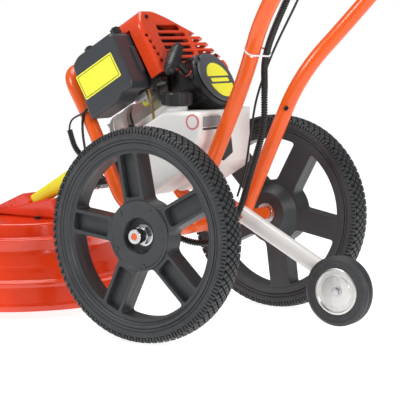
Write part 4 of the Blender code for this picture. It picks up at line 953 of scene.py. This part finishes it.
def intake():
    body = block((0.0384, 0.08), (0.086, 0.124), (0.042, 0.08), ENGINE, 0.002, 0.004)
    foot = block((0.048, 0.078), (0.09, 0.12), (0.024, 0.045), ENGINE, 0.0015, 0.003)
    bowl = peg(0.0055, 0.012, 0.03, ENGINE @ at(0.069, 0.114, 0), 0.0006, 32)
    seat = pipe(0.0088, 0.0118, 0.0228, 0.027, ENGINE @ at(0.06, 0.101, 0), 0.0006, 40)
    fins = [block((0.04, 0.079), (0.1236, 0.1258), (z, z + 0.0022), ENGINE, 0.0006)
            for z in (0.048, 0.056, 0.064)]
    recess = peg(0.0089, 0.015, 0.029, ENGINE @ at(0.06, 0.101, 0), 0, 40)
    piece("carburettor_body", merge(body, cut(foot, recess), bowl, seat, *fins), "alu", ("carburettor",))
    brass = []
    for x, z in ((0.07, 0.056), (0.056, 0.068), (0.048, 0.054)):
        brass.append(lathe([(0, 0), (0.0042, 0), (0.0042, 0.004), (0.003, 0.0046), (0.003, 0.009),
                            (0.0018, 0.0094), (0, 0.0094)], ENGINE @ at(x, 0.1236, z) @ ALONG_Y, 0.0004, 28))
    piece("mixture_screws", merge(*brass), "brass")
    rod = [(0.075, 0.129, 0.074), (0.072, 0.134, 0.07), (0.052, 0.136, 0.048),
           (0.044, 0.13, 0.046)]
    piece("throttle_link", sweep(bent(rod, 0.004, 6), 0.0013, ENGINE, 12), "steel")
    spring = [(*polar(0.0042, 360 * i / 14), 0.0002 * i) for i in range(85)]
    piece("return_spring", sweep(spring, 0.0006, ENGINE @ at(0.064, 0.134, 0.05), 8), "steel")
    base = block((0.0803, 0.086), (0.038, 0.164), (0.034, 0.146), ENGINE, 0.0012, 0.006)
    port = peg(0.009, 0.07, 0.1, ENGINE @ at(0, 0.105, 0.061) @ ALONG_X, 0, 40)
    piece("filter_plate", cut(base, port), "black", ("filter_base",))
    side_on = ENGINE @ SIDE_ON
    side = [(0.022, 0.028), (0.098, 0.026), (0.116, 0.038), (0.14, 0.034), (0.147, 0.044),
            (0.152, 0.146), (0.146, 0.152), (0.056, 0.152), (0.036, 0.142)]
    shell = plate([side], 0.0866, 0.148, side_on, 0.007, 0.005, 4)
    hollow = [(0.04, 0.04), (0.138, 0.048), (0.142, 0.144), (0.058, 0.148), (0.04, 0.138)]
    shell = cut(shell, plate([hollow], 0.08, 0.109, side_on, 0.004))
    rib = plate([[(0.145, 0.06), (0.153, 0.066), (0.1545, 0.118), (0.146, 0.124)]], 0.094, 0.106,
                side_on, 0.002, 0.0012)
    lugs, knobs = [], []
    for a in (0.062, 0.136):
        place = ENGINE @ at(0.105, a, 0)
        lugs.append(lathe([(0, 0.149), (0.0115, 0.149), (0.011, 0.1535), (0, 0.1535)], place, 0.001, 40))
        outline = [polar(0.0105 if k % 4 < 2 else 0.009, 15 * k) for k in range(24)]
        knobs.append(plate([outline], 0.1545, 0.1685, place, 0.001, 0.0014))
        knobs.append(lathe([(0, 0.15), (0.006, 0.15), (0.0072, 0.1698), (0.004, 0.1712), (0, 0.1712)],
                           place, 0.0008, 32))
    piece("filter_shell", merge(shell, rib, *lugs), "slate", ("filter_cover",))
    piece("cover_knobs", merge(*knobs), "black")
    a0, a1, b0, b1 = LABEL
    piece("side_label", plate([rectangle(a0, a1, b0, b1)], 0.1479, 0.1484, side_on, 0.003), "label")
    frame_line = [rectangle(a0 + 0.003, a1 - 0.003, b0 + 0.003, b1 - 0.003),
                  rectangle(a0 + 0.0042, a1 - 0.0042, b0 + 0.0042, b1 - 0.0042)]
    piece("label_border", plate(frame_line, 0.1482, 0.14855, side_on, 0.002), "black")
    pin = ENGINE @ at(0.083, 0.148, 0.024)
    lever = block((-0.0027, 0.0005), (-0.004, 0.004), (-0.024, 0.009), pin, 0.0008, 0.003)
    piece("choke_blade", lever, "black", ("choke_lever",))
    bulb = [(0, 0.0), (0.0085, 0.0), (0.0085, -0.004), (0.006, -0.0095), (0, -0.011)]
    piece("primer_dome", lathe(bulb, ENGINE @ at(0.06, 0.101, 0.0237), 0.003, 48), "yellow",
          ("primer_bulb",))


def fuel():
    tank = plate([TANK_SIDE], -0.12, 0.12, SIDE_ON, 0.014, 0.009, 4)
    whole_height = TANK_Z[0] - 0.05, TANK_Z[1] + 0.05
    tank = cut(tank, plate([TANK_PLAN], *whole_height, Matrix(), 0.014), how="INTERSECT")
    saddle = [(-0.2, 0.31), (-0.2, 0.23), (0.1, 0.23), (0.1, 0.345)]
    neck = at(*CAP, 0)
    tools = [peg(0.06, -0.1, 0.3, SHAFT, 0),
             plate([rectangle(-0.059, 0.059, -0.05, 0.3)], -0.04, 0.2, ENGINE, 0.004),
             plate([saddle], 0.0, 0.036, SIDE_ON)]
    tank = cut(tank, *tools)
    spout = lathe([(0.016, 0.4), (0.021, 0.4), (0.024, 0.4262), (0.021, 0.429), (0.021, 0.437),
                   (0.016, 0.437)], neck, 0.0012, 64)
    piece("tank_shell", merge(tank, spout), "tank", ("fuel_tank",), angle=40)
    hoop = [circle(0.0145, (0.027, 0.4085), 60), circle(0.0121, (0.027, 0.4085), 60)]
    piece("tank_mark", plate(hoop, 0.1198, 0.1204, SIDE_ON), "rust")
    plaque = plate([rectangle(0.05, 0.111, 0.399, 0.419)], -0.0462, -0.0446, BACK_ON, 0.002, 0.0005)
    piece("tank_plaque", plaque, "grey")
    piece("tank_strip", plate([rectangle(0.05, 0.111, 0.393, 0.397)], -0.0464, -0.0446, BACK_ON, 0.001,
                              0.0004), "black")
    stay = plate([[(0.012, 0.345), (0.046, 0.33), (0.046, 0.384), (0.034, 0.398), (0.02, 0.384)]], -0.05,
                 -0.038, BACK_ON, 0.004, 0.001)
    piece("tank_stay", stay, "black")
    lid = lathe([(0, 0.4374), (0.027, 0.4374), (0.0285, 0.44), (0.0285, 0.459), (0.027, 0.4625),
                 (0.019, 0.4636), (0.018, 0.4622), (0, 0.4622)], neck, 0.001, 72)
    thread = peg(0.015, 0.428, 0.44, neck, 0.0004, 48)
    ribs = []
    for k in range(12):
        turn = neck @ spin(30 * k)
        ribs.append(block((0.0272, 0.03), (-0.004, 0.004), (0.4392, 0.4615), turn, 0.001))
    bar = block((-0.017, 0.017), (-0.0036, 0.0036), (0.4615, 0.464), neck, 0.0008)
    piece("tank_cap", merge(lid, thread, bar, *ribs), "black", ("fuel_cap",))
    x, y, z = ENGINE @ Vector((0.074, 0.1245, 0.06))
    hose = [(0.0765, -0.094, 0.3978), (0.0765, -0.096, 0.418), (0.076, -0.104, 0.456),
            (0.0745, y + 0.006, z + 0.0035), (x, y + 0.001, z + 0.0006)]
    piece("fuel_tube", sweep(smooth_path(hose, 60), 0.0028, steps=20), "hose", ("fuel_hose",))


def muffler():
    can = block((-0.092, -0.0384), (0.068, 0.132), (0.052, 0.1), ENGINE, 0.004, 0.008)
    seam = block((-0.0935, -0.04), (0.0665, 0.1335), (0.075, 0.077), ENGINE, 0.0006, 0.008)
    spout = pipe(0.006, 0.008, 0.02, 0.056, ENGINE @ at(-0.07, 0.1, 0), 0.0006, 40)
    piece("muffler_can", merge(can, seam, spout), "steel", ("muffler",))


# ---- what the frame's own solids look like where nothing stands for them --------------------
PLAIN = {
    "drive_shaft": "steel", "output_shaft": "steel", "crankshaft": "steel",
    "gear_case": "alu", "clutch_drum": "steel", "crankcase": "alu", "cylinder": "alu", "piston": "alu",
    "flywheel": "alu", "recoil_pulley": "white", "line_spool": "slate", "line_cutter": "steel",
}


def plain_nodes():
    for node, kind in PLAIN.items():
        obj = frame["nodes"][node]
        rounding = obj.modifiers.new("edge", "BEVEL")
        rounding.width = 0.0005
        rounding.segments = 2
        rounding.limit_method = "ANGLE"
        dress(obj, kind)


# ---- studio --------------------------------------------------------------------------------
def studio():
    bm = bmesh.new()
    bmesh.ops.create_grid(bm, x_segments=2, y_segments=2, size=FLOOR_HALF)
    floor = form(bm)
    floor.name = "studio_floor"
    floor.hide_render = False
    white = bpy.data.materials.new("paper_floor")
    white.use_nodes = True
    paper = white.node_tree.nodes["Principled BSDF"].inputs
    paper["Base Color"].default_value = (0.4, 0.4, 0.4, 1)
    paper["Roughness"].default_value = 0.9
    paper["Emission Color"].default_value = (1, 1, 1, 1)
    paper["Emission Strength"].default_value = 0.9
    floor.data.materials.append(white)
    world = bpy.data.worlds.new("studio")
    world.use_nodes = True
    nodes, links = world.node_tree.nodes, world.node_tree.links
    nodes["Background"].inputs["Color"].default_value = (1, 1, 1, 1)
    # the backdrop stays white where it is seen, and lights the machine more softly
    rays = nodes.new("ShaderNodeLightPath")
    level = nodes.new("ShaderNodeMapRange")
    level.inputs["To Min"].default_value = 0.24
    level.inputs["To Max"].default_value = 1.0
    links.new(rays.outputs["Is Camera Ray"], level.inputs["Value"])
    links.new(level.outputs["Result"], nodes["Background"].inputs["Strength"])
    bpy.context.scene.world = world
    for name, spot, size, power in LAMPS:
        lamp = bpy.data.lights.new(name, "AREA")
        lamp.size = size
        lamp.energy = power
        obj = bpy.data.objects.new(name, lamp)
        bpy.context.scene.collection.objects.link(obj)
        aim = LAMP_AIM - Vector(spot)
        obj.matrix_world = Matrix.Translation(spot) @ aim.to_track_quat("-Z", "Y").to_matrix().to_4x4()
    data = bpy.data.cameras.new("camera")
    data.sensor_width = SENSOR_MM
    data.lens = LENS_MM
    data.clip_end = 60
    camera = bpy.data.objects.new("camera", data)
    bpy.context.scene.collection.objects.link(camera)
    right, forward = CAMERA_RIGHT.normalized(), CAMERA_FORWARD.normalized()
    axes = Matrix((right, right.cross(forward), -forward)).transposed().to_4x4()
    camera.matrix_world = Matrix.Translation(CAMERA_SPOT) @ axes
    bpy.context.scene.camera = camera
    bpy.context.scene.view_settings.view_transform = "Standard"


running_gear()
tail()
handles()
shaft_clamp()
controls()
cables()
deck()
shaft_line()
cutting_head()
clutch()
shroud()
recoil()
intake()
fuel()
muffler()
plain_nodes()
studio()
